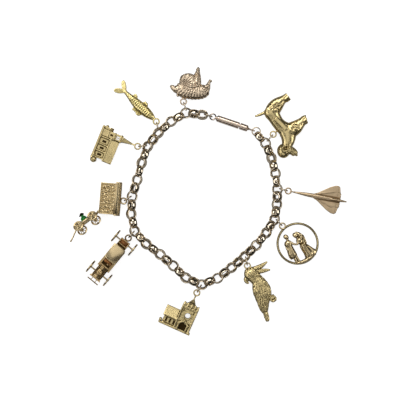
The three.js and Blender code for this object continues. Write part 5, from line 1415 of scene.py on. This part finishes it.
        driver.run([(0.2, side * 0.45, seat + 0.3, 0.4, 0.36), (1.0, side * 0.5, seat + 0.45, 0.34, 0.32),
                    (1.35, side * 0.5, seat + 0.2, 0.26, 0.26)], 4, 12)
    placed(skinned(driver, "driver", 0.1, 3), "caravan_driver_enamel", swing, finish("green_enamel"),
           "green_enamel", "caravan_driver")
    cap = Work()
    head = seat + 2.7 + 0.15
    cap.turned([(0, 0), (0.78, 0.0), (0.95, 0.08), (0.92, 0.16), (0.72, 0.22), (0.66, 0.5), (0.5, 0.7),
                (0, 0.76)],
               (0, 0, head), (0, 0, head + 1), 28)
    cap.box((0.2, -0.45, head + 0.02), (1.15, 0.45, head + 0.14), 0.05)
    placed(cap.mesh("cap"), "caravan_driver_cap_enamel", swing, finish("dark_enamel"), "dark_enamel",
           "caravan_driver_cap")


# Stage

def build_stage():
    look = bpy.context.scene.bracelet_stage
    scene = bpy.context.scene
    bm = bmesh.new()
    bmesh.ops.create_grid(bm, x_segments=1, y_segments=1, size=look.floor_size)
    mesh = bpy.data.meshes.new("floor")
    bm.to_mesh(mesh)
    bm.free()
    paint = Paint("white_table")
    cloud = paint.noise(30, 2.0)
    seen = paint.node("ShaderNodeLightPath").outputs["Is Camera Ray"]
    mesh.materials.append(paint.set(
        Base_Color=paint.mixed(cloud, (0.45, 0.45, 0.45), (0.48, 0.48, 0.48)), Roughness=0.9,
        Emission_Color=paint.mixed(seen, (0.0, 0.0, 0.0), (1.0, 1.0, 1.0)), Emission_Strength=look.floor_glow,
        Specular_IOR_Level=0.1))
    floor = bpy.data.objects.new("floor", mesh)
    scene.collection.objects.link(floor)

    world = bpy.data.worlds.new("studio")
    scene.world = world
    world.use_nodes = True
    world.node_tree.nodes["Background"].inputs["Color"].default_value = (*look.room_tone, 1)
    world.node_tree.nodes["Background"].inputs["Strength"].default_value = look.room_light
    aim = Vector((*look.view_centre, 0)) * MM
    for name, azimuth, elevation, distance, size, power in LAMPS:
        lamp = bpy.data.lights.new(name, "AREA")
        lamp.shape = "RECTANGLE"
        lamp.size, lamp.size_y = size
        lamp.energy = power * look.light_power
        obj = bpy.data.objects.new(name, lamp)
        a, e = math.radians(azimuth), math.radians(elevation)
        away = Vector((math.cos(a) * math.cos(e), math.sin(a) * math.cos(e), math.sin(e)))
        obj.location = aim + away * distance
        obj.rotation_euler = away.to_track_quat("Z", "Y").to_euler()
        scene.collection.objects.link(obj)

    camera = bpy.data.cameras.new("camera")
    camera.lens, camera.sensor_width = look.lens, 36
    obj = bpy.data.objects.new("camera", camera)
    obj.location = aim + UP * (look.view_width * MM * look.lens / camera.sensor_width)
    camera.clip_start, camera.clip_end = 0.01, 20
    scene.collection.objects.link(obj)
    scene.camera = obj
    scene.view_settings.view_transform = "Standard"


# Lamps: name, azimuth and elevation in degrees, distance in metres, size in metres and power in watts.
LAMPS = [
    ("overhead", 110, 84, 0.85, (0.62, 0.5), 0.85),
    ("box_back", 105, 50, 0.8, (0.8, 0.3), 3.0),
    ("box_front", 262, 50, 0.8, (0.8, 0.2), 0.55),
    ("box_left", 184, 42, 0.75, (0.6, 0.3), 1.3),
    ("box_right", 4, 38, 0.7, (0.5, 0.2), 1.0),
]


# The add-on

class ChainSettings(bpy.types.PropertyGroup):
    """Sizes of the chain's links."""
    band_steps: bpy.props.IntProperty(name="Band steps",
                                      description="Points round the outside of a link's band",
                                      default=9, min=3, max=24)
    link_steps: bpy.props.IntProperty(name="Link steps", description="Steps round a link", default=56, min=12,
                                      max=128)
    roundness: bpy.props.FloatProperty(name="Roundness", description="How flat the outside of the band is",
                                       default=0.75, min=0.2, max=2.0)


def colour(label, text, tone):
    """A colour among the settings."""
    return bpy.props.FloatVectorProperty(name=label, description=text, subtype="COLOR", size=3, default=tone)


class FinishSettings(bpy.types.PropertyGroup):
    """Colours of the golds."""
    rose_gold: colour("Rose gold", "Chain, rings and clasp", (0.66, 0.565, 0.43))
    olive_gold: colour("Olive gold", "Churches, bird, terrier and fish", (0.68, 0.545, 0.27))
    pale_gold: colour("Pale gold", "Couple, caravan, and roof and wheels of the car", (0.76, 0.60, 0.34))
    brushed_gold: colour("Brushed gold", "Jet", (0.62, 0.465, 0.29))
    silvery_gold: colour("Silvery gold", "Shaggy dog", (0.70, 0.56, 0.40))


class StageSettings(bpy.types.PropertyGroup):
    """The table, the lights and the view."""
    floor_size: bpy.props.FloatProperty(name="Table half width", description="Half the side of the table top",
                                        default=2.0, unit="LENGTH")
    floor_glow: bpy.props.FloatProperty(name="Table glow", description="Light that the table gives of itself",
                                        default=0.86, min=0, max=2)
    room_tone: colour("Room tone", "Colour of the room", (1.0, 0.99, 0.97))
    room_light: bpy.props.FloatProperty(name="Room light", description="Light from the room", default=0.03,
                                        min=0)
    light_power: bpy.props.FloatProperty(name="Light power", description="Power of all the lamps",
                                         default=1.0, min=0)
    view_centre: bpy.props.FloatVectorProperty(name="View centre",
                                               description="Middle of the view, millimetres",
                                               size=2, default=(-3.41, 0.94))
    view_width: bpy.props.FloatProperty(name="View width", description="Width of the view, millimetres",
                                        default=152.0)
    lens: bpy.props.FloatProperty(name="Lens", description="Focal length, millimetres", default=120.0)


def maker(key, label, text, build):
    """An operator class that runs one build function."""
    def execute(self, context):
        build()
        return {"FINISHED"}
    return type(f"BRACELET_OT_{key}", (bpy.types.Operator,), {
        "__doc__": text, "bl_idname": f"bracelet.{key}", "bl_label": label, "execute": execute})


OPERATORS = [
    maker("stage", "Stage", "Table, lamps and camera", build_stage),
    maker("chain", "Chain", "The belcher chain as one body", build_chain),
    maker("rings", "Jump rings", "All the jump rings", build_rings),
    maker("clasp", "Clasp", "The barrel clasp's sleeve and plug", build_clasp),
    maker("fish", "Fish", "The ribbed fish", fish),
    maker("jet", "Jet", "The slender jet", jet),
    maker("couple", "Wedding couple", "The couple in their ring", couple),
    maker("cockatoo", "Cockatoo", "The cockatoo on its perch", cockatoo),
    maker("short_church", "Short-spired church", "The church with the round window", short_church),
    maker("tall_church", "Tall-spired church", "The church with the tall spire", tall_church),
    maker("terrier", "Terrier", "The curly terrier", terrier),
    maker("lion_dog", "Shaggy dog", "The shaggy lion-like dog", lion_dog),
    maker("car", "Car", "The car and its wheels", car),
    maker("caravan", "Caravan", "The caravan, its carriage and driver", caravan),
]


class BRACELET_PT_panel(bpy.types.Panel):
    """Lists the settings and the pieces."""
    bl_label = "Charm bracelet"
    bl_space_type = "VIEW_3D"
    bl_region_type = "UI"
    bl_category = "Charm bracelet"

    def draw(self, context):
        for group in ("bracelet_chain", "bracelet_finish", "bracelet_stage"):
            settings = getattr(context.scene, group)
            for key in settings.__annotations__:
                self.layout.prop(settings, key)
        for operator in OPERATORS:
            self.layout.operator(operator.bl_idname)


GROUPS = {"bracelet_chain": ChainSettings, "bracelet_finish": FinishSettings, "bracelet_stage": StageSettings}


def register():
    for cls in [*GROUPS.values(), *OPERATORS, BRACELET_PT_panel]:
        bpy.utils.register_class(cls)
    for key, cls in GROUPS.items():
        setattr(bpy.types.Scene, key, bpy.props.PointerProperty(type=cls))


def unregister():
    for key in GROUPS:
        delattr(bpy.types.Scene, key)
    for cls in reversed([*GROUPS.values(), *OPERATORS, BRACELET_PT_panel]):
        bpy.utils.unregister_class(cls)


def main():
    register()
    for operator in OPERATORS:
        group, key = operator.bl_idname.split(".")
        getattr(getattr(bpy.ops, group), key)()


if __name__ == "__main__":
    main()
